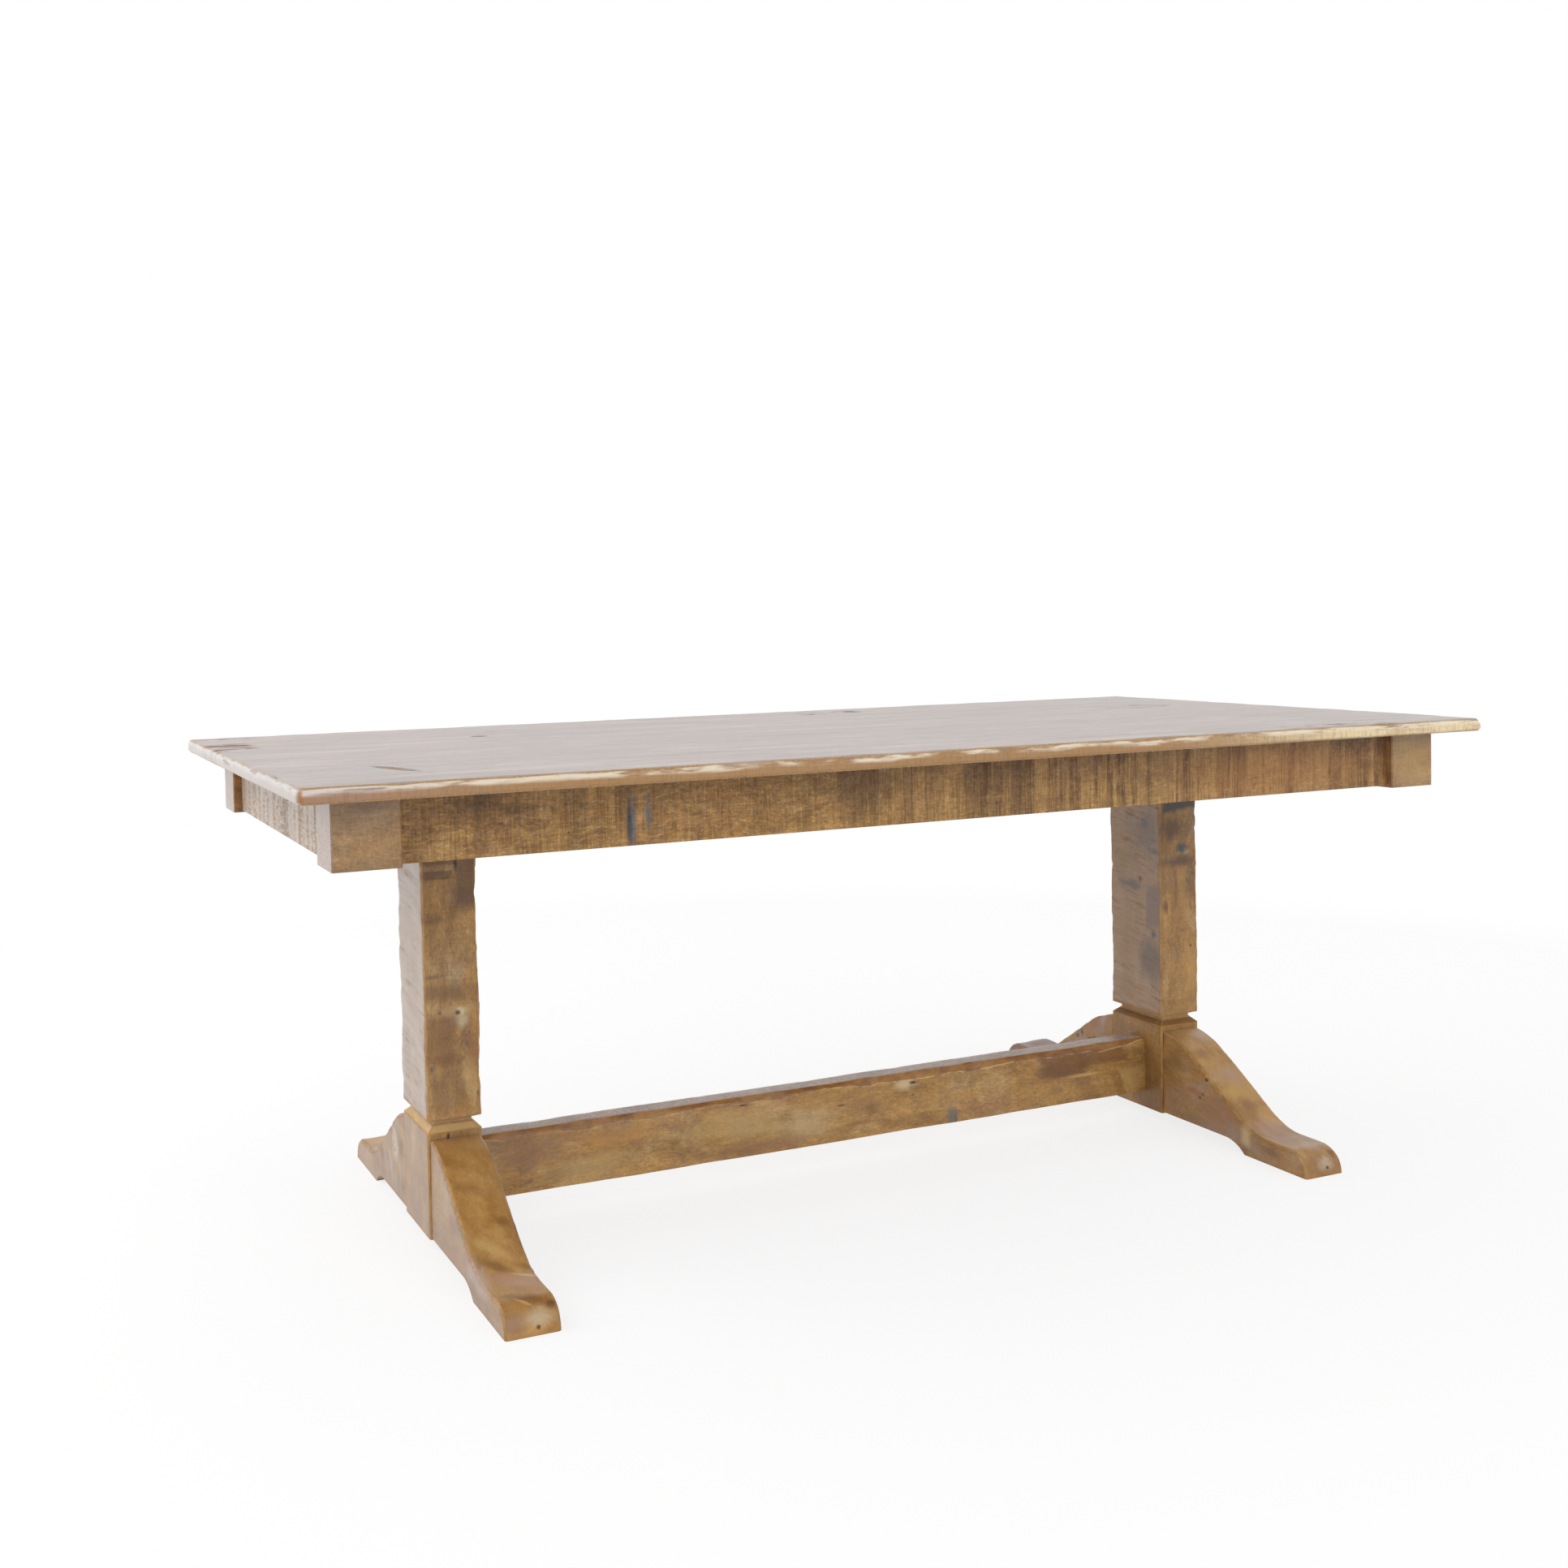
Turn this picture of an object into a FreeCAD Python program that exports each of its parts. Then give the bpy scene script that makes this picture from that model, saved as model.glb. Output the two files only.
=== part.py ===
"""Rustic trestle dining table in solid hardwood, in millimetres.

The origin is on the floor under the centre of the table. X runs along the table, Y across it
with the rear at +Y, and Z points up. Every piece is a solid of its own: the boards of the top,
the apron frame, the two trestles, the stretcher and the hidden fixings.
"""
import FreeCAD, Part
import math
import os
from types import SimpleNamespace

import Sketcher
from FreeCAD import Rotation, Vector

# Driving dimensions, each one a cell of the sheet
SIZES = {
    # Table top
    "table_height": 762,
    "top_length": 2000,
    "top_width": 1000,
    "top_thickness": 22,
    "top_corner_radius": 12,
    "top_upper_radius": 7,
    "top_lower_chamfer_width": 4,
    # Corner blocks
    "end_overhang_length": 53,
    "side_overhang_length": 63,
    "block_side_length": 92,
    "block_height": 95,
    "block_chamfer_width": 2,
    # Aprons
    "apron_height": 92,
    "apron_thickness": 22,
    "apron_setback_distance": 14,
    "apron_tenon_length": 30,
    "apron_tenon_thickness": 9,
    "apron_tenon_height": 60,
    # Posts
    "post_end_distance": 304,
    "post_thickness": 86,
    "post_depth": 147,
    "post_floor_gap": 17,
    "post_chamfer_width": 2.5,
    "post_tenon_thickness": 36,
    "post_tenon_width": 76,
    "post_tenon_length": 36,
    # Groove round the post's neck
    "neck_top_height": 200,
    "neck_height": 20.5,
    "neck_depth": 13,
    "neck_soffit_height": 5,
    "neck_flat_height": 4,
    # Feet
    "foot_thickness": 80,
    "foot_reach_length": 442,
    "foot_arch_height": 19.5,
    "foot_chamfer_width": 3,
    "foot_heel_radius": 71,
    "foot_shoulder_height": 171,
    "foot_shoulder_radius": 170,
    "foot_shoulder_lead_length": 15,
    "foot_instep_radius": 130,
    "toe_pad_length": 150,
    "toe_height": 41,
    "toe_flat_length": 51,
    "foot_tenon_length": 45,
    "foot_tenon_thickness": 30,
    "foot_tenon_height": 100,
    "foot_tenon_floor_gap": 45,
    # Stretcher and the bolts that hold it
    "stretcher_thickness": 49,
    "stretcher_height": 101,
    "stretcher_floor_gap": 48,
    "stretcher_chamfer_width": 6,
    "stretcher_tenon_length": 15,
    "stretcher_shoulder_width": 10,
    "stretcher_bolt_diameter": 10,
    "stretcher_bolt_grip_length": 55,
    "stretcher_bolt_tail_length": 6,
    "stretcher_washer_width": 26,
    "stretcher_washer_thickness": 3,
    "stretcher_nut_width": 17,
    "stretcher_nut_height": 8,
    "nut_pocket_distance": 60,
    "nut_pocket_length": 42,
    "nut_pocket_width": 30,
    "nut_pocket_headroom_height": 18,
    # Bearers
    "bearer_end_gap": 11,
    "bearer_width": 80,
    "bearer_height": 50,
    "bearer_bevel_width": 28,
    "bearer_peg_diameter": 12,
    "bearer_peg_spacing": 40,
    "bearer_peg_height": 18,
    "bearer_screw_end_distance": 78,
    "bearer_screw_diameter": 8,
    "bearer_screw_bite_length": 15,
    "bearer_screw_head_width": 13,
    "bearer_screw_head_height": 5.5,
    "bearer_hole_diameter": 11,
    # Wooden buttons that hold the top to the aprons
    "button_width": 40,
    "button_length": 40,
    "button_tongue_thickness": 6,
    "button_tongue_length": 6,
    "button_apron_gap": 2,
    "button_groove_distance": 12,
    "button_groove_height": 8,
    "button_groove_depth": 8,
    "button_screw_diameter": 4.5,
    "button_screw_bite_length": 13,
    "button_screw_head_diameter": 9.5,
    "button_screw_head_height": 3.5,
    "end_button_spacing": 360,
    # Shared by all joints and cuts
    "joint_gap": 0.1,
    "cut_overrun": 5,
}
BOARD_COUNT = 8
BUTTON_COUNT = 2
BEARER_SCREW_COUNT = 4
HEXAGON_SIDES = 6
FLATS_TO_CORNERS_SHARE = 1 / math.sqrt(3)
UPRIGHT_SHARE = 0.99
TOUCH_SHARE = 0.001

doc = FreeCAD.newDocument("trestle_table")
sheet = doc.addObject("Spreadsheet::Sheet", "Sizes")
for row, (alias, value) in enumerate(SIZES.items(), start=1):
    sheet.set(f"A{row}", alias)
    sheet.set(f"B{row}", str(value))
    sheet.setAlias(f"B{row}", alias)
doc.recompute()


class Length:
    """A length as a number, together with the sheet expression that gives it."""

    def __init__(self, number, text):
        self.number = number
        self.text = text

    def __add__(self, other):
        other = as_length(other)
        return Length(self.number + other.number, f"({self.text} + {other.text})")

    def __sub__(self, other):
        other = as_length(other)
        return Length(self.number - other.number, f"({self.text} - {other.text})")

    def __mul__(self, factor):
        return Length(self.number * factor, f"({self.text} * {factor})")

    def __truediv__(self, divisor):
        return Length(self.number / divisor, f"({self.text} / {divisor})")

    def __neg__(self):
        return Length(-self.number, f"(0 - {self.text})")


def as_length(value):
    return value if isinstance(value, Length) else Length(value, str(value))


size = SimpleNamespace(**{alias: Length(float(sheet.get(alias)), f"Sizes.{alias}") for alias in SIZES})

def ladder(count, pitch):
    """Places of a row of copies, evenly spaced about zero."""
    return [pitch * (index - (count - 1) / 2) for index in range(count)]


# Places that several pieces share
top_underside = size.table_height - size.top_thickness
block_face_x = size.top_length / 2 - size.end_overhang_length
block_face_y = size.top_width / 2 - size.side_overhang_length
apron_inner_x = block_face_x - size.apron_setback_distance - size.apron_thickness
apron_inner_y = block_face_y - size.apron_setback_distance - size.apron_thickness
groove_top = top_underside - size.button_groove_distance
post_x = size.top_length / 2 - size.post_end_distance
post_half_thickness = size.post_thickness / 2
post_half_depth = size.post_depth / 2
bearer_underside = top_underside - size.bearer_height
bearer_half_length = apron_inner_y - size.bearer_end_gap
bearer_screw_pitch = (bearer_half_length - size.bearer_screw_end_distance) * 2 / (BEARER_SCREW_COUNT - 1)
bearer_screw_row = ladder(BEARER_SCREW_COUNT, bearer_screw_pitch)
stretcher_shoulder = post_x - post_half_thickness
stretcher_axis_height = size.stretcher_floor_gap + size.stretcher_height / 2
peg_places = (-(size.bearer_peg_spacing / 2), size.bearer_peg_spacing / 2)

# Turns that point a cylinder's own Z axis along the named direction
DIRECTIONS = {
    "+x": ((1, 0, 0), Rotation(Vector(0, 1, 0), 90)),
    "+z": ((0, 0, 1), Rotation()),
}
UP = Vector(0, 0, 1)


def bind(thing, path, length):
    thing.setExpression(path, as_length(length).text)


def place(thing, point, rotation=Rotation()):
    thing.Placement = FreeCAD.Placement(Vector(), rotation)
    for axis, length in zip("xyz", point):
        bind(thing, f"Placement.Base.{axis}", length)


def quarter_turned(point, quarters):
    """The point turned about the vertical through the origin by so many right angles."""
    along, across, height = point
    for _ in range(quarters):
        along, across = -as_length(across), along
    return along, across, height


# Solids of Part


def box(name, low, sides, quarters=0):
    solid = doc.addObject("Part::Box", name)
    for path, length in zip(("Length", "Width", "Height"), sides):
        bind(solid, path, length)
    place(solid, quarter_turned(low, quarters), Rotation(UP, 90 * quarters))
    return solid


def rod(name, start, direction, diameter, length):
    solid = doc.addObject("Part::Cylinder", name)
    bind(solid, "Radius", diameter / 2)
    bind(solid, "Height", length)
    place(solid, start, DIRECTIONS[direction][1])
    return solid


def hexagon(name, start, direction, flats, length):
    """A hexagonal bar, as wide across its flats as stated."""
    solid = doc.addObject("Part::Prism", name)
    solid.Polygon = HEXAGON_SIDES
    bind(solid, "Circumradius", flats * FLATS_TO_CORNERS_SHARE)
    bind(solid, "Height", length)
    place(solid, start, DIRECTIONS[direction][1])
    return solid


def cut(name, base, tool):
    solid = doc.addObject("Part::Cut", name)
    solid.Base = base
    solid.Tool = tool
    return solid


def fuse(name, solids):
    solid = doc.addObject("Part::MultiFuse", name)
    solid.Shapes = solids
    return solid


def group(label, solids):
    """One node that holds several separate solids of the same kind."""
    compound = doc.addObject("Part::Compound", label)
    compound.Label = label
    compound.Links = solids
    return compound


# Features of a PartDesign body


def new_body(label):
    body = doc.addObject("PartDesign::Body", label)
    body.Label = label
    return body


def block(body, kind, low, sides):
    """An Additive or Subtractive block of the body, from its low corner and its sides."""
    feature = body.newObject(f"PartDesign::{kind}Box", f"{body.Name}_{kind}_block")
    for path, length in zip(("Length", "Width", "Height"), sides):
        bind(feature, path, length)
    place(feature, low)
    return feature


def bore(body, mouth, direction, diameter, depth):
    """A round hole that starts at its mouth and runs into the body along the direction."""
    steps, rotation = DIRECTIONS[direction]
    feature = body.newObject("PartDesign::SubtractiveCylinder", f"{body.Name}_bore")
    bind(feature, "Radius", diameter / 2)
    bind(feature, "Height", depth + size.cut_overrun)
    start = [as_length(place_) - size.cut_overrun * step for place_, step in zip(mouth, steps)]
    place(feature, start, rotation)
    return feature


def ease_edges(body, kind, edges, length):
    """A Fillet or Chamfer of the named edges of the body's last feature."""
    base = body.Tip
    feature = body.newObject(f"PartDesign::{kind}", f"{body.Name}_{kind}")
    feature.Base = (base, edges)
    bind(feature, "Radius" if kind == "Fillet" else "Size", length)
    return feature


def edges_where(body, test):
    doc.recompute()
    edges = body.Tip.Shape.Edges
    return [f"Edge{index}" for index, edge in enumerate(edges, start=1) if test(edge)]


def is_upright(edge):
    return abs(edge.tangentAt(edge.FirstParameter).z) > UPRIGHT_SHARE


def is_level_at(height):
    """A test for edges that lie wholly at one height."""
    touch = height.number * TOUCH_SHARE

    def test(edge):
        bounds = edge.BoundBox
        return abs(bounds.ZMin - height.number) < touch and abs(bounds.ZMax - height.number) < touch

    return test


def sketch_on(body, role):
    sketch = body.newObject("Sketcher::SketchObject", f"{body.Name}_sketch")
    plane = next(feature for feature in body.Origin.OriginFeatures if feature.Role == role)
    sketch.AttachmentSupport = (plane, [""])
    sketch.MapMode = "FlatFace"
    return sketch


def dimension(sketch, kind, *places, length):
    """A dimension of the sketch that follows the sheet."""
    index = sketch.addConstraint(Sketcher.Constraint(kind, *places, length.number))
    bind(sketch, f"Constraints[{index}]", length)


def polygon(sketch, corners):
    """A closed outline of straight lines, with each corner held at its place."""
    first = sketch.GeometryCount
    points = [Vector(across.number, height.number, 0) for across, height in corners]
    count = len(points)
    for index, point in enumerate(points):
        sketch.addGeometry(Part.LineSegment(point, points[(index + 1) % count]))
    for index, (across, height) in enumerate(corners):
        line = first + index
        sketch.addConstraint(Sketcher.Constraint("Coincident", line, 2, first + (index + 1) % count, 1))
        dimension(sketch, "DistanceX", -1, 1, line, 1, length=across)
        dimension(sketch, "DistanceY", -1, 1, line, 1, length=height)


# Table top


def make_top():
    """The slab with its rounded edges and screw holes, ripped into its edge-glued boards."""
    slab = new_body("top_slab")
    block(slab, "Additive", (-(size.top_length / 2), -(size.top_width / 2), top_underside),
          (size.top_length, size.top_width, size.top_thickness))
    ease_edges(slab, "Fillet", edges_where(slab, is_upright), size.top_corner_radius)
    ease_edges(slab, "Fillet", edges_where(slab, is_level_at(size.table_height)), size.top_upper_radius)
    ease_edges(slab, "Chamfer", edges_where(slab, is_level_at(top_underside)), size.top_lower_chamfer_width)

    pilots = [
        rod("pilot", (x, y, top_underside - size.cut_overrun), "+z", diameter + size.joint_gap * 2,
            bite + size.joint_gap + size.cut_overrun)
        for x, y, diameter, bite in screw_places()
    ]
    drilled = cut("drilled_slab", slab, group("pilots", pilots))

    board_width = size.top_width / BOARD_COUNT
    for index in range(BOARD_COUNT):
        rip = box("rip", (-(size.top_length / 2) - size.cut_overrun,
                          board_width * index - size.top_width / 2, top_underside - size.cut_overrun),
                  (size.top_length + size.cut_overrun * 2, board_width,
                   size.top_thickness + size.cut_overrun * 2))
        board = doc.addObject("Part::Common", f"top_board_{index + 1}")
        board.Label = f"top_board_{index + 1}"
        board.Base = drilled
        board.Tool = rip
        yield board


def screw_places():
    """Plan place, diameter and bite of every screw that goes up into the top."""
    for x in (-post_x, post_x):
        for y in bearer_screw_row:
            yield x, y, size.bearer_screw_diameter, size.bearer_screw_bite_length
    for quarters, along, inner in button_places():
        x, y, _ = quarter_turned((along, button_screw_line(inner), 0), quarters)
        yield x, y, size.button_screw_diameter, size.button_screw_bite_length


# Apron frame

SIDES = ("front", "right", "rear", "left")
CORNERS = ("front_left", "front_right", "rear_right", "rear_left")


def make_aprons():
    for quarters, side in enumerate(SIDES):
        block_face, inner = ((block_face_x, apron_inner_y), (block_face_y, apron_inner_x))[quarters % 2]
        half_span = block_face - size.block_side_length
        apron = new_body(f"{side}_apron")
        outer = -(inner + size.apron_thickness)
        block(apron, "Additive", (-half_span, outer, top_underside - size.apron_height),
              (half_span * 2, size.apron_thickness, size.apron_height))
        half_tenons = half_span + size.apron_tenon_length
        block(apron, "Additive",
              (-half_tenons, outer + (size.apron_thickness - size.apron_tenon_thickness) / 2,
               top_underside - (size.apron_height + size.apron_tenon_height) / 2),
              (half_tenons * 2, size.apron_tenon_thickness, size.apron_tenon_height))
        block(apron, "Subtractive",
              (-half_span - size.cut_overrun, -inner - size.button_groove_depth,
               groove_top - size.button_groove_height),
              ((half_span + size.cut_overrun) * 2, size.button_groove_depth + size.cut_overrun,
               size.button_groove_height))
        apron.Placement = FreeCAD.Placement(Vector(), Rotation(UP, 90 * quarters))
        yield apron


def make_corner_blocks():
    """Square blocks, each with a mortise for the tenon of either apron that meets it."""
    mortise_depth = size.apron_tenon_length + size.joint_gap
    mortise_width = size.apron_tenon_thickness + size.joint_gap * 2
    mortise_height = size.apron_tenon_height + size.joint_gap * 2
    mortise_inset = size.apron_setback_distance + (size.apron_thickness - mortise_width) / 2
    mortise_low = top_underside - (size.apron_height + size.apron_tenon_height) / 2 - size.joint_gap
    for quarters, corner in enumerate(CORNERS):
        piece = new_body(f"corner_block_{corner}")
        block(piece, "Additive", (0, 0, top_underside - size.block_height),
              (size.block_side_length, size.block_side_length, size.block_height))
        ease_edges(piece, "Chamfer", edges_where(piece, is_upright), size.block_chamfer_width)
        block(piece, "Subtractive", (size.block_side_length - mortise_depth, mortise_inset, mortise_low),
              (mortise_depth + size.cut_overrun, mortise_width, mortise_height))
        block(piece, "Subtractive", (mortise_inset, size.block_side_length - mortise_depth, mortise_low),
              (mortise_width, mortise_depth + size.cut_overrun, mortise_height))
        reach = ((block_face_x, block_face_y), (block_face_y, block_face_x))[quarters % 2]
        place(piece, quarter_turned((-reach[0], -reach[1], 0), quarters), Rotation(UP, 90 * quarters))
        yield piece


def button_places():
    """Side, place along the apron and inner face of each button, as if on the front apron."""
    rows = ((post_x, apron_inner_y), (size.end_button_spacing, apron_inner_x))
    for quarters in range(len(SIDES)):
        spacing, inner = rows[quarters % 2]
        for along in ladder(BUTTON_COUNT, spacing):
            yield quarters, along, inner


def button_screw_line(inner):
    return -inner + size.button_apron_gap + size.button_length / 2


def make_buttons():
    buttons = []
    screws = []
    underside = groove_top - size.button_tongue_thickness
    for quarters, along, inner in button_places():
        left = along - size.button_width / 2
        back = -inner + size.button_apron_gap
        body = box("button_body", (left, back, underside),
                   (size.button_width, size.button_length, top_underside - underside), quarters)
        tongue_length = size.button_tongue_length + size.button_apron_gap
        tongue = box("button_tongue", (left, back - tongue_length, underside),
                     (size.button_width, tongue_length, size.button_tongue_thickness), quarters)
        x, y, _ = quarter_turned((along, button_screw_line(inner), 0), quarters)
        hole = rod("button_hole", (x, y, underside - size.cut_overrun), "+z",
                   size.button_screw_diameter + size.joint_gap * 2,
                   top_underside - underside + size.cut_overrun * 2)
        buttons.append(cut("button", fuse("button_blank", [body, tongue]), hole))
        shank = rod("screw_shank", (x, y, underside), "+z", size.button_screw_diameter,
                    top_underside + size.button_screw_bite_length - underside)
        head = rod("screw_head", (x, y, underside - size.button_screw_head_height), "+z",
                   size.button_screw_head_diameter, size.button_screw_head_height)
        screws.append(fuse("button_screw", [shank, head]))
    yield group("top_buttons", buttons)
    yield group("button_screws", screws)


# Trestles


def neck_groove(body, role, half_width, run):
    """The neck groove on two opposite faces of a post, sawn straight across both."""
    sketch = sketch_on(body, role)
    outer = half_width + size.cut_overrun
    root = half_width - size.neck_depth
    bottom = size.neck_top_height - size.neck_height
    soffit = size.neck_top_height - size.neck_soffit_height
    profile = ((outer, size.neck_top_height), (half_width, size.neck_top_height), (root, soffit),
               (root, soffit - size.neck_flat_height), (half_width, bottom), (outer, bottom))
    polygon(sketch, profile)
    polygon(sketch, [(-across, height) for across, height in profile])
    pocket = body.newObject("PartDesign::Pocket", f"{body.Name}_neck")
    pocket.Profile = sketch
    pocket.SideType = "Symmetric"
    bind(pocket, "Length", run + size.cut_overrun * 2)


def make_posts():
    """Each post in one timber, from the base between the feet to the tenon in its bearer."""
    for label, x, turn in (("left_post", -post_x, 0), ("right_post", post_x, 180)):
        post = new_body(label)
        block(post, "Additive", (-post_half_thickness, -post_half_depth, size.post_floor_gap),
              (size.post_thickness, size.post_depth, bearer_underside - size.post_floor_gap))
        ease_edges(post, "Chamfer", edges_where(post, is_upright), size.post_chamfer_width)
        neck_groove(post, "YZ_Plane", post_half_depth, size.post_thickness)
        neck_groove(post, "XZ_Plane", post_half_thickness, size.post_depth)
        block(post, "Additive",
              (-(size.post_tenon_thickness / 2), -(size.post_tenon_width / 2), bearer_underside),
              (size.post_tenon_thickness, size.post_tenon_width, size.post_tenon_length))
        for y in peg_places:
            bore(post, (-post_half_thickness, y, bearer_underside + size.bearer_peg_height), "+x",
                 size.bearer_peg_diameter + size.joint_gap * 2, size.post_thickness)
        mortise_depth = size.foot_tenon_length + size.joint_gap + size.cut_overrun
        mortise_width = size.foot_tenon_thickness + size.joint_gap * 2
        for y in (-post_half_depth - size.cut_overrun, post_half_depth + size.cut_overrun - mortise_depth):
            block(post, "Subtractive", (-(mortise_width / 2), y, size.foot_tenon_floor_gap - size.joint_gap),
                  (mortise_width, mortise_depth, size.foot_tenon_height + size.joint_gap * 2))
        tenon_side = size.stretcher_thickness - size.stretcher_shoulder_width * 2 + size.joint_gap * 2
        tenon_rise = size.stretcher_height - size.stretcher_shoulder_width * 2 + size.joint_gap * 2
        block(post, "Subtractive",
              (post_half_thickness - size.stretcher_tenon_length - size.joint_gap, -(tenon_side / 2),
               stretcher_axis_height - tenon_rise / 2),
              (size.stretcher_tenon_length + size.joint_gap + size.cut_overrun, tenon_side, tenon_rise))
        grip = size.stretcher_bolt_grip_length + size.joint_gap
        bolt_hole = size.stretcher_bolt_diameter + size.joint_gap * 2
        bore(post, (post_half_thickness - grip + size.cut_overrun, 0, stretcher_axis_height), "+x",
             bolt_hole, grip)
        place(post, (x, 0, 0), Rotation(UP, turn))
        yield post


def on_circle(centre, radius, angle):
    return Vector(centre.x + radius * math.cos(angle), centre.y + radius * math.sin(angle), 0)


def foot_outline(sketch):
    """The S-curved side of a foot: arch, heel, toe pad, round toe, instep, slope and shoulder.

    The slope is the line that touches both the shoulder's arc and the instep's arc.
    """
    face = post_half_depth.number
    arch = size.foot_arch_height.number
    reach = size.foot_reach_length.number
    toe = size.toe_height.number
    heel_radius = size.foot_heel_radius.number
    shoulder_radius = size.foot_shoulder_radius.number
    instep_radius = size.foot_instep_radius.number
    lead = size.foot_shoulder_lead_length.number
    pad_start = Vector(reach - size.toe_pad_length.number, 0, 0)
    heel_turn = math.asin((heel_radius - arch) / heel_radius)
    heel_centre = Vector(pad_start.x - heel_radius * math.cos(heel_turn), arch - heel_radius, 0)
    toe_centre = Vector(reach - toe, 0, 0)
    flat_end = Vector(toe_centre.x - size.toe_flat_length.number, toe, 0)
    instep_centre = Vector(flat_end.x, toe + instep_radius, 0)
    shoulder_rise = math.sqrt(shoulder_radius ** 2 - lead ** 2)
    shoulder_centre = Vector(face - lead, size.foot_shoulder_height.number - shoulder_rise, 0)
    span = instep_centre - shoulder_centre
    tangent_turn = math.atan2(span.y, span.x) + math.acos((shoulder_radius + instep_radius) / span.Length)
    slope_top = on_circle(shoulder_centre, shoulder_radius, tangent_turn)
    slope_foot = on_circle(instep_centre, -instep_radius, tangent_turn)
    shoulder_turn = math.acos(lead / shoulder_radius)
    shoulder_start = on_circle(shoulder_centre, shoulder_radius, shoulder_turn)
    arch_start = Vector(face, arch, 0)
    arch_end = Vector(heel_centre.x, arch, 0)
    toe_tip = Vector(reach, 0, 0)
    toe_top = Vector(toe_centre.x, toe, 0)

    def arc(centre, radius, start, end):
        return Part.ArcOfCircle(Part.Circle(centre, UP, radius), start, end)

    arch_line, heel, pad, toe_round, flat, instep, slope, shoulder, back = range(9)
    sketch.addGeometry([
        Part.LineSegment(arch_start, arch_end),
        arc(heel_centre, heel_radius, heel_turn, math.pi / 2),
        Part.LineSegment(pad_start, toe_tip),
        arc(toe_centre, toe, 0, math.pi / 2),
        Part.LineSegment(toe_top, flat_end),
        arc(instep_centre, instep_radius, math.pi + tangent_turn, math.pi * 3 / 2),
        Part.LineSegment(slope_foot, slope_top),
        arc(shoulder_centre, shoulder_radius, tangent_turn, shoulder_turn),
        Part.LineSegment(shoulder_start, arch_start),
    ])
    start, end, centre = 1, 2, 3
    origin = (-1, 1)
    level_axis = -1
    for kind, *places in (
            ("Tangent", arch_line, end, heel, end),
            ("Coincident", heel, start, pad, start),
            ("Coincident", pad, end, toe_round, start),
            ("Tangent", toe_round, end, flat, start),
            ("Tangent", flat, end, instep, end),
            ("Tangent", instep, start, slope, start),
            ("Tangent", slope, end, shoulder, start),
            ("Coincident", shoulder, end, back, start),
            ("Coincident", back, end, arch_line, start),
            ("Horizontal", arch_line), ("Horizontal", pad), ("Horizontal", flat), ("Vertical", back),
            ("PointOnObject", pad, start, level_axis),
            ("PointOnObject", toe_round, centre, level_axis)):
        sketch.addConstraint(Sketcher.Constraint(kind, *places))
    dimension(sketch, "DistanceX", *origin, back, end, length=post_half_depth)
    dimension(sketch, "DistanceY", *origin, arch_line, start, length=size.foot_arch_height)
    dimension(sketch, "Radius", heel, length=size.foot_heel_radius)
    dimension(sketch, "DistanceX", pad, start, pad, end, length=size.toe_pad_length)
    dimension(sketch, "DistanceX", *origin, pad, end, length=size.foot_reach_length)
    dimension(sketch, "Radius", toe_round, length=size.toe_height)
    dimension(sketch, "DistanceX", flat, end, flat, start, length=size.toe_flat_length)
    dimension(sketch, "Radius", instep, length=size.foot_instep_radius)
    dimension(sketch, "Radius", shoulder, length=size.foot_shoulder_radius)
    dimension(sketch, "DistanceY", *origin, shoulder, end, length=size.foot_shoulder_height)
    dimension(sketch, "DistanceX", shoulder, centre, shoulder, end, length=size.foot_shoulder_lead_length)


def is_foot_crest(edge):
    """The long upper edges of a foot, on both of its sides, from the post to the toe."""
    bounds = edge.BoundBox
    touch = size.foot_thickness.number * TOUCH_SHARE
    return (bounds.XLength < touch and bounds.YLength > touch
            and bounds.ZMax > size.foot_arch_height.number + touch)


def make_feet():
    """Four feet, each a bandsawn wing tenoned into the front or rear face of a post."""
    for side, x in (("left", -post_x), ("right", post_x)):
        for end, turn in (("front", 180), ("rear", 0)):
            foot = new_body(f"{side}_{end}_foot")
            outline = sketch_on(foot, "YZ_Plane")
            foot_outline(outline)
            pad = foot.newObject("PartDesign::Pad", f"{foot.Name}_pad")
            pad.Profile = outline
            pad.SideType = "Symmetric"
            bind(pad, "Length", size.foot_thickness)
            ease_edges(foot, "Chamfer", edges_where(foot, is_foot_crest), size.foot_chamfer_width)
            block(foot, "Additive",
                  (-(size.foot_tenon_thickness / 2), post_half_depth - size.foot_tenon_length,
                   size.foot_tenon_floor_gap),
                  (size.foot_tenon_thickness, size.foot_tenon_length + size.cut_overrun,
                   size.foot_tenon_height))
            place(foot, (x, 0, 0), Rotation(UP, turn))
            yield foot


# Bearers under the top


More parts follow.
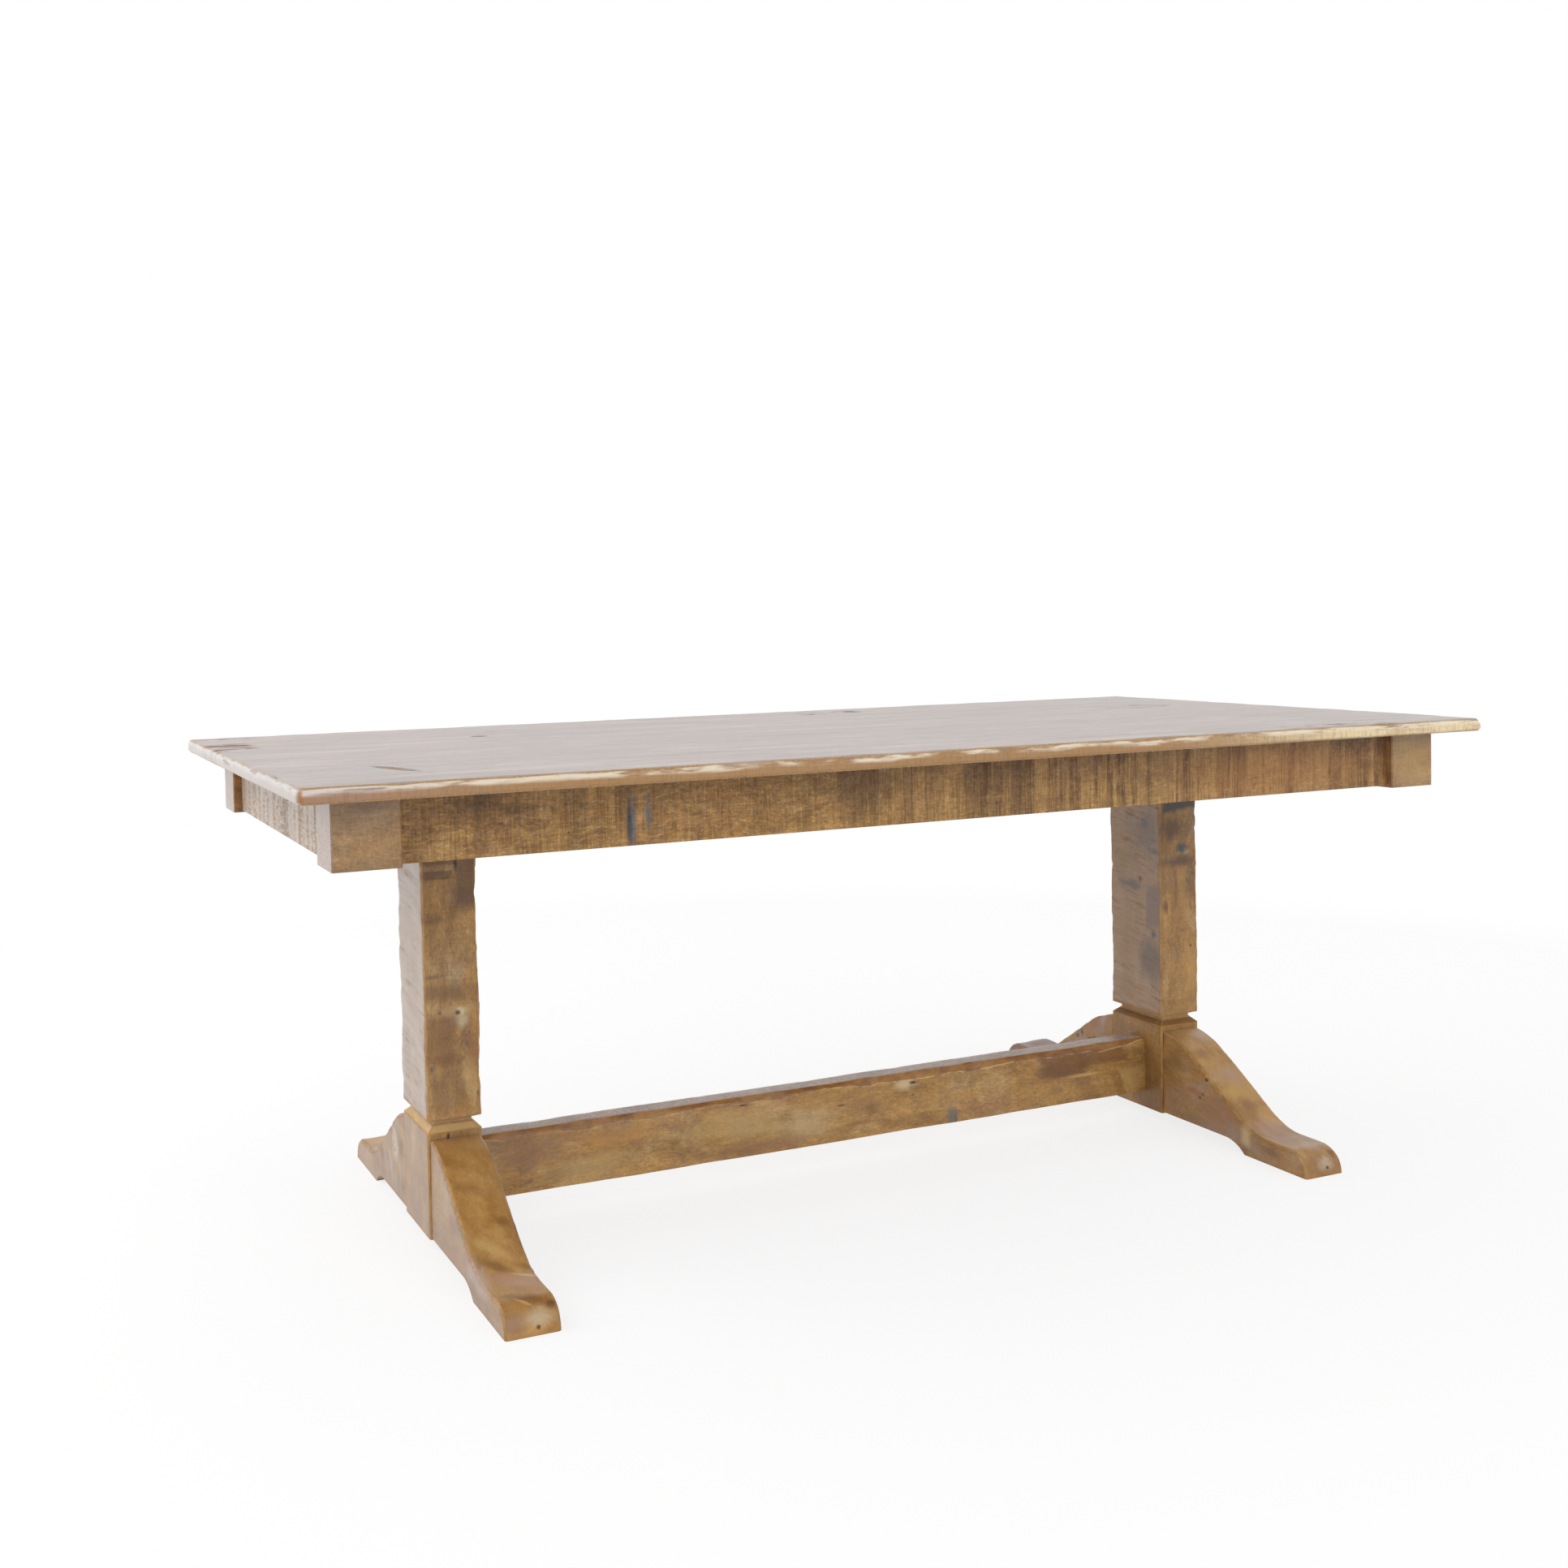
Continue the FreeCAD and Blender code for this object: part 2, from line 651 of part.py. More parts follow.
def make_bearers():
    """Cross rails on the post tenons, screwed to the top through oversize holes."""
    for label, x in (("left_bearer", -post_x), ("right_bearer", post_x)):
        bearer = new_body(label)
        block(bearer, "Additive", (-(size.bearer_width / 2), -bearer_half_length, bearer_underside),
              (size.bearer_width, bearer_half_length * 2, size.bearer_height))
        end = bearer_half_length.number
        lower_ends = edges_where(bearer, lambda edge: (
            is_level_at(bearer_underside)(edge) and abs(abs(edge.CenterOfMass.y) - end) < end * TOUCH_SHARE))
        ease_edges(bearer, "Chamfer", lower_ends, size.bearer_bevel_width)
        mortise = [side + size.joint_gap * 2 for side in (size.post_tenon_thickness, size.post_tenon_width)]
        block(bearer, "Subtractive",
              (-(mortise[0] / 2), -(mortise[1] / 2), bearer_underside - size.cut_overrun),
              (*mortise, size.post_tenon_length + size.joint_gap + size.cut_overrun))
        for y in peg_places:
            bore(bearer, (-(size.bearer_width / 2), y, bearer_underside + size.bearer_peg_height), "+x",
                 size.bearer_peg_diameter + size.joint_gap * 2, size.bearer_width + size.cut_overrun)
        hole = bore(bearer, (0, bearer_screw_row[0], bearer_underside), "+z", size.bearer_hole_diameter,
                    size.bearer_height + size.cut_overrun)
        doc.recompute()
        row = bearer.newObject("PartDesign::LinearPattern", f"{bearer.Name}_screw_row")
        row.Originals = [hole]
        y_axis = next(axis for axis in bearer.Origin.OriginFeatures if axis.Role == "Y_Axis")
        row.Direction = (y_axis, [""])
        row.Occurrences = BEARER_SCREW_COUNT
        bind(row, "Length", bearer_screw_row[-1] - bearer_screw_row[0])
        bearer.Tip = row
        place(bearer, (x, 0, 0))
        yield bearer


def make_bearer_fixings():
    """Pegs through the post tenons, and hexagon-headed wood screws up into the top."""
    pegs = []
    screws = []
    for x in (-post_x, post_x):
        for y in peg_places:
            start = (x - size.bearer_width / 2, y, bearer_underside + size.bearer_peg_height)
            pegs.append(rod("bearer_peg", start, "+x", size.bearer_peg_diameter, size.bearer_width))
        for y in bearer_screw_row:
            shank = rod("screw_shank", (x, y, bearer_underside), "+z", size.bearer_screw_diameter,
                        size.bearer_height + size.bearer_screw_bite_length)
            head = hexagon("screw_head", (x, y, bearer_underside - size.bearer_screw_head_height), "+z",
                           size.bearer_screw_head_width, size.bearer_screw_head_height)
            screws.append(fuse("bearer_screw", [shank, head]))
    yield group("bearer_pegs", pegs)
    yield group("bearer_screws", screws)


# Stretcher


def make_stretcher():
    """The rail between the posts: stub tenons, and a pocket below each end for its nut."""
    rail = new_body("stretcher")
    half_thickness = size.stretcher_thickness / 2
    top = size.stretcher_floor_gap + size.stretcher_height
    block(rail, "Additive", (-stretcher_shoulder, -half_thickness, size.stretcher_floor_gap),
          (stretcher_shoulder * 2, size.stretcher_thickness, size.stretcher_height))
    half_length = stretcher_shoulder.number
    crest = edges_where(rail, lambda edge: is_level_at(top)(edge) and edge.BoundBox.XLength > half_length)
    ease_edges(rail, "Chamfer", crest, size.stretcher_chamfer_width)
    half_tenons = stretcher_shoulder + size.stretcher_tenon_length
    shoulder = size.stretcher_shoulder_width
    block(rail, "Additive", (-half_tenons, -half_thickness + shoulder, size.stretcher_floor_gap + shoulder),
          (half_tenons * 2, size.stretcher_thickness - shoulder * 2, size.stretcher_height - shoulder * 2))
    bolt_hole = size.stretcher_bolt_diameter + size.joint_gap * 2
    hole_run = size.nut_pocket_distance + size.stretcher_tenon_length
    pocket_height = stretcher_axis_height + size.nut_pocket_headroom_height - size.stretcher_floor_gap
    pocket_near = stretcher_shoulder - size.nut_pocket_distance
    for start in (-half_tenons, pocket_near):
        bore(rail, (start, 0, stretcher_axis_height), "+x", bolt_hole, hole_run + size.cut_overrun)
    for start in (-pocket_near, pocket_near - size.nut_pocket_length):
        block(rail, "Subtractive",
              (start, -(size.nut_pocket_width / 2), size.stretcher_floor_gap - size.cut_overrun),
              (size.nut_pocket_length, size.nut_pocket_width, pocket_height + size.cut_overrun))
    yield rail


def make_stretcher_fixings():
    """Hanger bolts in the posts, drawn up by a square washer and a nut in each pocket."""
    bolts = []
    washers = []
    nuts = []
    pocket_near = stretcher_shoulder - size.nut_pocket_distance
    nut_seat = pocket_near - size.stretcher_washer_thickness
    tail = nut_seat - size.stretcher_nut_height - size.stretcher_bolt_tail_length
    tip = stretcher_shoulder + size.stretcher_bolt_grip_length
    bolt_hole = size.stretcher_bolt_diameter + size.joint_gap * 2
    half_washer = size.stretcher_washer_width / 2
    for bolt_start, washer_start, nut_start in (
            (-tip, -pocket_near, -nut_seat),
            (tail, nut_seat, nut_seat - size.stretcher_nut_height)):
        bolts.append(rod("hanger_bolt", (bolt_start, 0, stretcher_axis_height), "+x",
                         size.stretcher_bolt_diameter, tip - tail))
        hole = rod("bolt_hole", (washer_start - size.nut_pocket_length, 0, stretcher_axis_height), "+x",
                   bolt_hole, size.nut_pocket_length * 2)
        plate = box("washer_plate", (washer_start, -half_washer, stretcher_axis_height - half_washer),
                    (size.stretcher_washer_thickness, half_washer * 2, half_washer * 2))
        washers.append(cut("square_washer", plate, hole))
        blank = hexagon("nut_blank", (nut_start, 0, stretcher_axis_height), "+x", size.stretcher_nut_width,
                        size.stretcher_nut_height)
        nuts.append(cut("hex_nut", blank, hole))
    yield group("stretcher_bolts", bolts)
    yield group("stretcher_washers", washers)
    yield group("stretcher_nuts", nuts)


def check_document():
    """Stop if any object failed, or if a feature left its body as it was."""
    for thing in doc.Objects:
        faults = {"Invalid", "Error"} & set(thing.State)
        if faults:
            raise RuntimeError(f"{thing.Label}: {', '.join(sorted(faults))}")
    for body in doc.findObjects("PartDesign::Body"):
        solids = [feature for feature in body.Group if feature.isDerivedFrom("PartDesign::Feature")]
        for before, after in zip(solids, solids[1:]):
            if math.isclose(before.Shape.Volume, after.Shape.Volume, rel_tol=1e-9):
                raise RuntimeError(f"{after.Label} changes nothing")


def main():
    makers = (make_top, make_aprons, make_corner_blocks, make_buttons, make_posts, make_feet, make_bearers,
              make_bearer_fixings, make_stretcher, make_stretcher_fixings)
    pieces = [piece for maker in makers for piece in maker()]
    doc.recompute()
    check_document()
    for piece in pieces:
        if piece.Shape.isNull() or not piece.Shape.isValid():
            raise RuntimeError(f"{piece.Label} has no valid shape")
    os.makedirs("parts", exist_ok=True)
    for piece in pieces:
        piece.Shape.exportStep(f"parts/{piece.Label}.step")
        solids = len(piece.Shape.Solids)
        print(f"{piece.Label}: {solids} solid(s), {piece.Shape.Volume / 1000:.1f} cm3")


main()
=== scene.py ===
"""Looks of the rustic trestle dining table, in metres.

The frame gives every piece its place: X runs along the table, Y across it to the rear and Z up.
Each timber is a carved copy of its solid: welded, cut into a fine grid, hewn, and rubbed down at
its arrises. The finishes are stained wood under a satin lacquer, with bare wood where it wore off.
Colours are 8-bit sRGB triples, and marks on the wood are placed in millimetres.
"""
import math

import bmesh
import bpy
from mathutils import Euler, Matrix, Vector, kdtree, noise


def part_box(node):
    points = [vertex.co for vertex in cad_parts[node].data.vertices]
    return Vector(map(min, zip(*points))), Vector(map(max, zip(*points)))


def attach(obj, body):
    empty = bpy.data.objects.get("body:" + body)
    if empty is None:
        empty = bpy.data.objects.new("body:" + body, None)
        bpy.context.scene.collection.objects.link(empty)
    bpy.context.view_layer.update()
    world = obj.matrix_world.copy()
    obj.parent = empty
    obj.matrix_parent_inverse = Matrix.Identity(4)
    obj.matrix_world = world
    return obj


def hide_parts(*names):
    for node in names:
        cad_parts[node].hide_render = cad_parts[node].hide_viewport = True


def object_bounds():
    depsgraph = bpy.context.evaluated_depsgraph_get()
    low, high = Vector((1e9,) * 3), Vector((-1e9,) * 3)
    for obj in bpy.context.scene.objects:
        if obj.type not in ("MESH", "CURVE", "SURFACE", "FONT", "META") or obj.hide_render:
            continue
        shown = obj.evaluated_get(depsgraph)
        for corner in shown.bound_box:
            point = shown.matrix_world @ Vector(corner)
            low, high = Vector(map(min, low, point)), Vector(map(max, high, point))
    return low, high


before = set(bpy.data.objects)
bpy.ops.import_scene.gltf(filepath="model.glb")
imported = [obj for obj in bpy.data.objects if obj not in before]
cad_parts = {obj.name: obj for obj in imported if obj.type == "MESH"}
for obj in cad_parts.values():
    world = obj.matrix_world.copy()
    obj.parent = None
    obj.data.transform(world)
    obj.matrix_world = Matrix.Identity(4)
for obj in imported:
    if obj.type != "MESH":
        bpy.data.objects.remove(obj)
cad_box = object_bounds()

MM = 0.001
WELD = 0.01 * MM
FLAT_ANGLE = math.radians(0.5)
ARRIS_ANGLE = math.radians(24)
SHARP_ANGLE = math.radians(38)
TOP_CORNER = Vector(cad_box[1])
BOARD_COUNT = 8
CORNER_RADIUS = 12 * MM
RUB_LOW, RUB_START = 30 * MM, -0.2
CHIP_START, CHIP_FULL = 0.15, 0.6
ADZE_WAVE, ADZE_NARROW = 0.13, Vector((7, 1, 1))
RIM_LAYERS = ("inset", "long_side", "corner")
SHAFT_LOW = 200 * MM


# Carving


def cut_across(shape, axis, places):
    """Cuts the whole shape by planes that stand across one axis."""
    across = Vector(float(index == axis) for index in range(3))
    for place in places:
        bmesh.ops.bisect_plane(shape, geom=shape.verts[:] + shape.edges[:] + shape.faces[:], dist=WELD,
                               plane_co=across * place, plane_no=across)


def even_places(low, high, cell):
    count = max(1, round((high - low) / cell))
    return [low + (high - low) * step / count for step in range(1, count)]


def carved(node, cells, points=(), **flags):
    """A welded copy of a node's mesh, cut into cells of so many millimetres, and the vertices on its arrises.

    It has layers for values at points, and flags on the faces whose normals pass their tests.
    """
    shape = bmesh.new()
    shape.from_mesh(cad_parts[node].data)
    for name in ("arris", *points):
        shape.verts.layers.float.new(name)
    for name in flags:
        shape.faces.layers.float.new(name)
    bmesh.ops.remove_doubles(shape, verts=shape.verts, dist=WELD)
    bmesh.ops.dissolve_limit(shape, angle_limit=FLAT_ANGLE, verts=shape.verts, edges=shape.edges)
    low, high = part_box(node)
    for axis, cell in enumerate(cells):
        cut_across(shape, axis, even_places(low[axis], high[axis], cell * MM))
    shape.normal_update()
    for name, test in flags.items():
        layer = shape.faces.layers.float[name]
        for face in shape.faces:
            face[layer] = float(test(face.normal))
    return shape, {vert for edge in shape.edges if edge.is_manifold and edge.calc_face_angle() > ARRIS_ANGLE
                   for vert in edge.verts}


def swell(place, wave, seed):
    """Smooth noise between about -1 and 1, with waves of the given length."""
    return noise.fractal(place / wave + Vector((seed, seed * 1.7, seed * 0.6)), 1.0, 2.0, 2)


def hew(shape, depth, wave, seed, keep):
    """Pushes the faces in and out by up to the depth, times the share that keep gives for a place."""
    shape.normal_update()
    for vert in shape.verts:
        vert.co += vert.normal * depth * keep(vert.co) * swell(vert.co, wave, seed)


def rub(shape, verts, wave, seed):
    """Rubs the arrises down where the noise is high, but not those near the floor."""
    worn = [vert for vert in verts if vert.co.z > RUB_LOW and swell(vert.co, wave, seed) > RUB_START]
    bmesh.ops.smooth_vert(shape, verts=worn, factor=0.5,
                          use_axis_x=True, use_axis_y=True, use_axis_z=True)


def adze(shape, depth, angles, seed, keep):
    """Slanting tool marks, turned by the angles, times the share that keep gives for a vertex."""
    shape.normal_update()
    turn = Euler(angles).to_matrix()
    for vert in shape.verts:
        mark = swell(turn @ vert.co * ADZE_NARROW, ADZE_WAVE, seed)
        vert.co += vert.normal * depth * mark * keep(vert)


def nick(shape, verts, depth, wave, seed, keep):
    """Small chips out of the arrises, times the share that keep gives for a place."""
    shape.normal_update()
    for vert in verts:
        chip = ease(swell(vert.co, wave, seed), CHIP_START, CHIP_FULL)
        vert.co -= vert.normal * depth * chip * keep(vert.co)


def finished(node, shape, material, arrises=()):
    """The shaped piece, riding on the table in place of its node. It knows how far its arrises are."""
    if arrises:
        layer = shape.verts.layers.float["arris"]
        tree = kdtree.KDTree(len(arrises))
        for index, vert in enumerate(arrises):
            tree.insert(vert.co, index)
        tree.balance()
        for vert in shape.verts:
            vert[layer] = tree.find(vert.co)[2]
    mesh = bpy.data.meshes.new(f"{node}_timber")
    shape.to_mesh(mesh)
    shape.free()
    if "custom_normal" in mesh.attributes:
        mesh.attributes.remove(mesh.attributes["custom_normal"])
    mesh.materials.clear()
    mesh.materials.append(material)
    mesh.shade_smooth()
    mesh.set_sharp_from_angle(angle=SHARP_ANGLE)
    piece = bpy.data.objects.new(f"{node}_timber", mesh)
    bpy.context.scene.collection.objects.link(piece)
    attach(piece, "root")
    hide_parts(node)


def ease(value, low, high):
    """Rises smoothly from 0 at low to 1 at high."""
    share = min(max((value - low) / (high - low), 0), 1)
    return share * share * (3 - 2 * share)


# Shader nodes


def tone(red, green, blue):
    """A colour from its 8-bit sRGB values, as the linear colour that a shader takes."""
    shares = [value / 255 for value in (red, green, blue)]
    return tuple(s / 12.92 if s < 0.04045 else ((s + 0.055) / 1.055) ** 2.4 for s in shares) + (1.0,)


def add(tree, kind, sockets=None, **settings):
    """A node in the tree, with its settings, and with its sockets linked or given values."""
    node = tree.nodes.new(kind)
    for name, value in settings.items():
        setattr(node, name, value)
    for key, value in (sockets or {}).items():
        if isinstance(value, bpy.types.NodeSocket):
            tree.links.new(value, node.inputs[key])
        else:
            node.inputs[key].default_value = value
    return node


def link(kind, sockets, **settings):
    """A node in the tree of the sockets that it is linked to."""
    tree = next(value.id_data for value in sockets.values() if isinstance(value, bpy.types.NodeSocket))
    return add(tree, kind, sockets, **settings)


def maths(operation, *values, clamp=False):
    return link("ShaderNodeMath", dict(enumerate(values)), operation=operation, use_clamp=clamp).outputs[0]


def times(first, second):
    return maths("MULTIPLY", first, second)


def scaled(value, share, start, clamp=False):
    """The value times the share, on top of the start."""
    return maths("MULTIPLY_ADD", value, share, start, clamp=clamp)


def rest(value):
    """What the value leaves of 1."""
    return maths("SUBTRACT", 1.0, value)


def vectors(operation, *values):
    return link("ShaderNodeVectorMath", dict(enumerate(values)), operation=operation).outputs[0]


def drawn(place, shares):
    """The place times a share along each axis. A pattern read there is drawn out where the share is small."""
    return vectors("MULTIPLY", place, shares)


def length(vector):
    return link("ShaderNodeVectorMath", {0: vector}, operation="LENGTH").outputs["Value"]


def axes(vector):
    return link("ShaderNodeSeparateXYZ", {0: vector}).outputs


def cloud(place, scale, detail=3.0, roughness=0.5, seed=0.0):
    """Noise between 0 and 1, with so many cells to the metre."""
    sockets = {"Vector": place, "Scale": scale, "Detail": detail, "Roughness": roughness, "W": seed}
    return link("ShaderNodeTexNoise", sockets, noise_dimensions="4D").outputs[0]


def step(value, low, high):
    """Rises smoothly from 0 at low to 1 at high."""
    return link("ShaderNodeMapRange", {"Value": value, "From Min": low, "From Max": high},
                interpolation_type="SMOOTHSTEP").outputs[0]


def mixed(share, first, second):
    """A colour between two others, each a triple or a socket."""
    first, second = (colour if isinstance(colour, bpy.types.NodeSocket) else tone(*colour)
                     for colour in (first, second))
    return link("ShaderNodeMix", {0: share, 6: first, 7: second}, data_type="RGBA").outputs[2]


def use(group, sockets):
    """The results of a shared effect."""
    return link("ShaderNodeGroup", sockets, node_tree=group).outputs


def new_material(name):
    """An empty material, and its node tree."""
    material = bpy.data.materials.new(name)
    material.use_nodes = True
    material.node_tree.nodes.clear()
    return material, material.node_tree


def new_effect(name, inputs, outputs):
    """The inputs of a new node group, and the sockets that its results go to."""
    tree = bpy.data.node_groups.new(name, "ShaderNodeTree")
    for label, kind in inputs.items():
        tree.interface.new_socket(name=label, in_out="INPUT", socket_type=f"NodeSocket{kind}")
    for label in outputs:
        tree.interface.new_socket(name=label, in_out="OUTPUT", socket_type="NodeSocketFloat")
    return add(tree, "NodeGroupInput").outputs, add(tree, "NodeGroupOutput").inputs


def give(results, **values):
    """Links the results of a node group, and gives back the group."""
    for label, value in values.items():
        tree = value.id_data
        tree.links.new(value, results[label])
    return tree


def drifted(place, scale, reach, seed):
    """The place, moved about by noise, so that a pattern read there flows and curls."""
    drift = link("ShaderNodeTexNoise", {"Vector": place, "Scale": scale, "Detail": 2.0, "W": seed},
                 noise_dimensions="4D").outputs[1]
    drift = drawn(vectors("SUBTRACT", drift, (0.5, 0.5, 0.5)), (reach, reach, reach))
    return vectors("ADD", place, drift)


def make_grain():
    """Growth rings, fibres and feathery figure that run along X, with fine flecks across them."""
    given, results = new_effect("grain", {"Vector": "Vector", "Seed": "Float"},
                                ("Figure", "Rings", "Feather", "Fibre", "Pores", "Fleck", "Grit"))
    straight, seed = given["Vector"], given["Seed"]
    place = drifted(straight, 6.0, 0.05, seed)
    along = drawn(place, (0.09, 1, 1))
    figure = step(cloud(along, 30, 6, 0.66, seed), 0.36, 0.64)
    contour = cloud(drawn(place, (0.22, 1, 1)), 11, 3, 0.5, seed)
    rings = step(maths("SINE", times(contour, 150.0)), 0.3, 0.95)
    curled = drawn(drifted(straight, 24.0, 0.03, seed), (0.2, 1, 1))
    feather = step(cloud(curled, 280, 4, 0.66, seed), 0.5, 0.62)
    fibre = cloud(along, 380, 4, 0.7, seed)
    pores = step(cloud(drawn(place, (0.04, 1, 1)), 900, 1, 0.5, seed), 0.6, 0.72)
    fleck = cloud(drawn(straight, (1, 0.16, 0.16)), 340, 2, 0.6, seed)
    grit = cloud(drawn(straight, (0.5, 1, 1)), 300, 4, 0.75, seed)
    return give(results, Figure=figure, Rings=rings, Feather=feather, Fibre=fibre, Pores=pores, Fleck=fleck,
                Grit=grit)


def make_stain():
    """Uneven stain: flowing clouds of five tones drawn out along X, and a finer mottle."""
    given, results = new_effect("stain", {"Vector": "Vector", "Seed": "Float"},
                                ("Dark", "Warm", "Grey", "Pale", "Rose", "Mottle"))
    seed = given["Seed"]
    along = drawn(drifted(given["Vector"], 14.0, 0.05, seed), (0.5, 1, 1))

    def clouds(scale, offset, low, high):
        return step(cloud(along, scale, 7, 0.64, maths("ADD", seed, offset)), low, high)

    mottle = cloud(along, 60, 6, 0.7, maths("ADD", seed, 31.7))
    return give(results, Dark=clouds(18, 0.0, 0.48, 0.64), Warm=clouds(14, 7.3, 0.44, 0.62),
                Grey=clouds(15, 13.9, 0.51, 0.66), Pale=clouds(20, 19.2, 0.51, 0.65),
                Rose=clouds(15, 25.1, 0.47, 0.64), Mottle=step(mottle, 0.3, 0.7))


def make_saw():
    """Marks of the saw across X: fine lines, soft bands, and strips where the blade bit deeper."""
    given, results = new_effect("saw marks", {"Vector": "Vector", "Seed": "Float"},
                                ("Lines", "Bands", "Strips"))
    place, seed = given["Vector"], given["Seed"]
    lines = step(cloud(drawn(place, (1, 0.025, 0.025)), 330, 3, 0.75, seed), 0.42, 0.6)
    broken = step(cloud(place, 55, 5, 0.7, seed), 0.34, 0.62)
    lines = times(lines, scaled(broken, 0.75, 0.25))
    bands = step(cloud(drawn(place, (1, 0.05, 0.05)), 34, 5, 0.66, seed), 0.43, 0.6)
    station = maths("ADD", axes(place)[0], seed)
    strip = link("ShaderNodeTexVoronoi", {"W": station, "Scale": 26.0},
                 voronoi_dimensions="1D").outputs["Color"]
    strips = link("ShaderNodeSeparateColor", {0: strip}).outputs[0]
    return give(results, Lines=lines, Bands=bands, Strips=strips)


def make_spot():
    """A spot with a ragged edge: its square patch, its round soft cloud, and the cloud's rim and rings."""
    given, results = new_effect(
        "spot", {"Vector": "Vector", "Centre": "Vector", "Half": "Vector", "Edge": "Float"},
        ("Patch", "Cloud", "Rim", "Rings"))
    away = vectors("DIVIDE", vectors("SUBTRACT", given["Vector"], given["Centre"]), given["Half"])
    sides = axes(vectors("ABSOLUTE", away))
    square = maths("MAXIMUM", maths("MAXIMUM", sides[0], sides[1]), sides[2])
    patch = rest(step(scaled(given["Edge"], 0.4, square), 0.65, 1.1))
    reach = maths("ADD", length(away), given["Edge"])
    cloud = rest(step(reach, 0.15, 1.2))
    rim = times(step(reach, 0.4, 0.75), rest(step(reach, 0.8, 1.1)))
    rings = step(maths("SINE", times(reach, 26.0)), 0.5, 0.95)
    return give(results, Patch=patch, Cloud=cloud, Rim=rim, Rings=times(rings, cloud))


def make_arris():
    """Wear along the arrises: a broken line right on them, and a ragged band beside them."""
    given, results = new_effect("worn arris", {"Vector": "Vector", "Width": "Float", "Seed": "Float"},
                                ("Line", "Band"))
    distance = add(given["Vector"].id_data, "ShaderNodeAttribute", attribute_name="arris").outputs["Fac"]
    ragged = step(cloud(given["Vector"], 26, 6, 0.66, given["Seed"]), 0.36, 0.64)
    reach = maths("DIVIDE", distance, times(given["Width"], maths("ADD", ragged, 0.25)))
    line = times(rest(step(reach, 0.3, 1.2)), ragged)
    return give(results, Line=line, Band=rest(step(reach, 0.8, 4.0)))


GRAIN, STAIN, SAW, SPOT, ARRIS = make_grain(), make_stain(), make_saw(), make_spot(), make_arris()


# Finishes


HONEY = (190, 147, 86)
TAN = (158, 118, 66)
UMBER = (98, 70, 44)
GOLD = (182, 130, 62)
AMBER = (150, 98, 46)
SLATE = (108, 104, 106)
STEEL = (92, 96, 104)
STRAW = (210, 176, 116)
PITCH = (52, 44, 38)
GRAIN_TURNS = {"x": (0, 0, 0), "y": (0, 0, -math.pi / 2), "z": (0, math.pi / 2, 0)}

# Edges of spots: cells to the metre, swing, and how they are drawn out along the grain
SPOT_EDGES = {"broad": (38, 2.4, (0.4, 1, 1)), "fine": (130, 1.6, (1, 1, 1)), "plain": (45, 0.9, (1, 1, 1)),
              "smooth": (16, 0.6, (1, 1, 1)), "upright": (120, 1.1, (1, 0.12, 0.12))}

# Kinds of marks: the edge and the part of the spot that they take
MARK_KINDS = {"cloud": ("broad", "Cloud"), "patch": ("broad", "Patch"), "knot": ("fine", "Cloud"),
              "bleed": ("upright", "Cloud"), "swirl": ("plain", "Rings"), "arch": ("smooth", "Rings")}
KNOT_DEPTH = 1.5


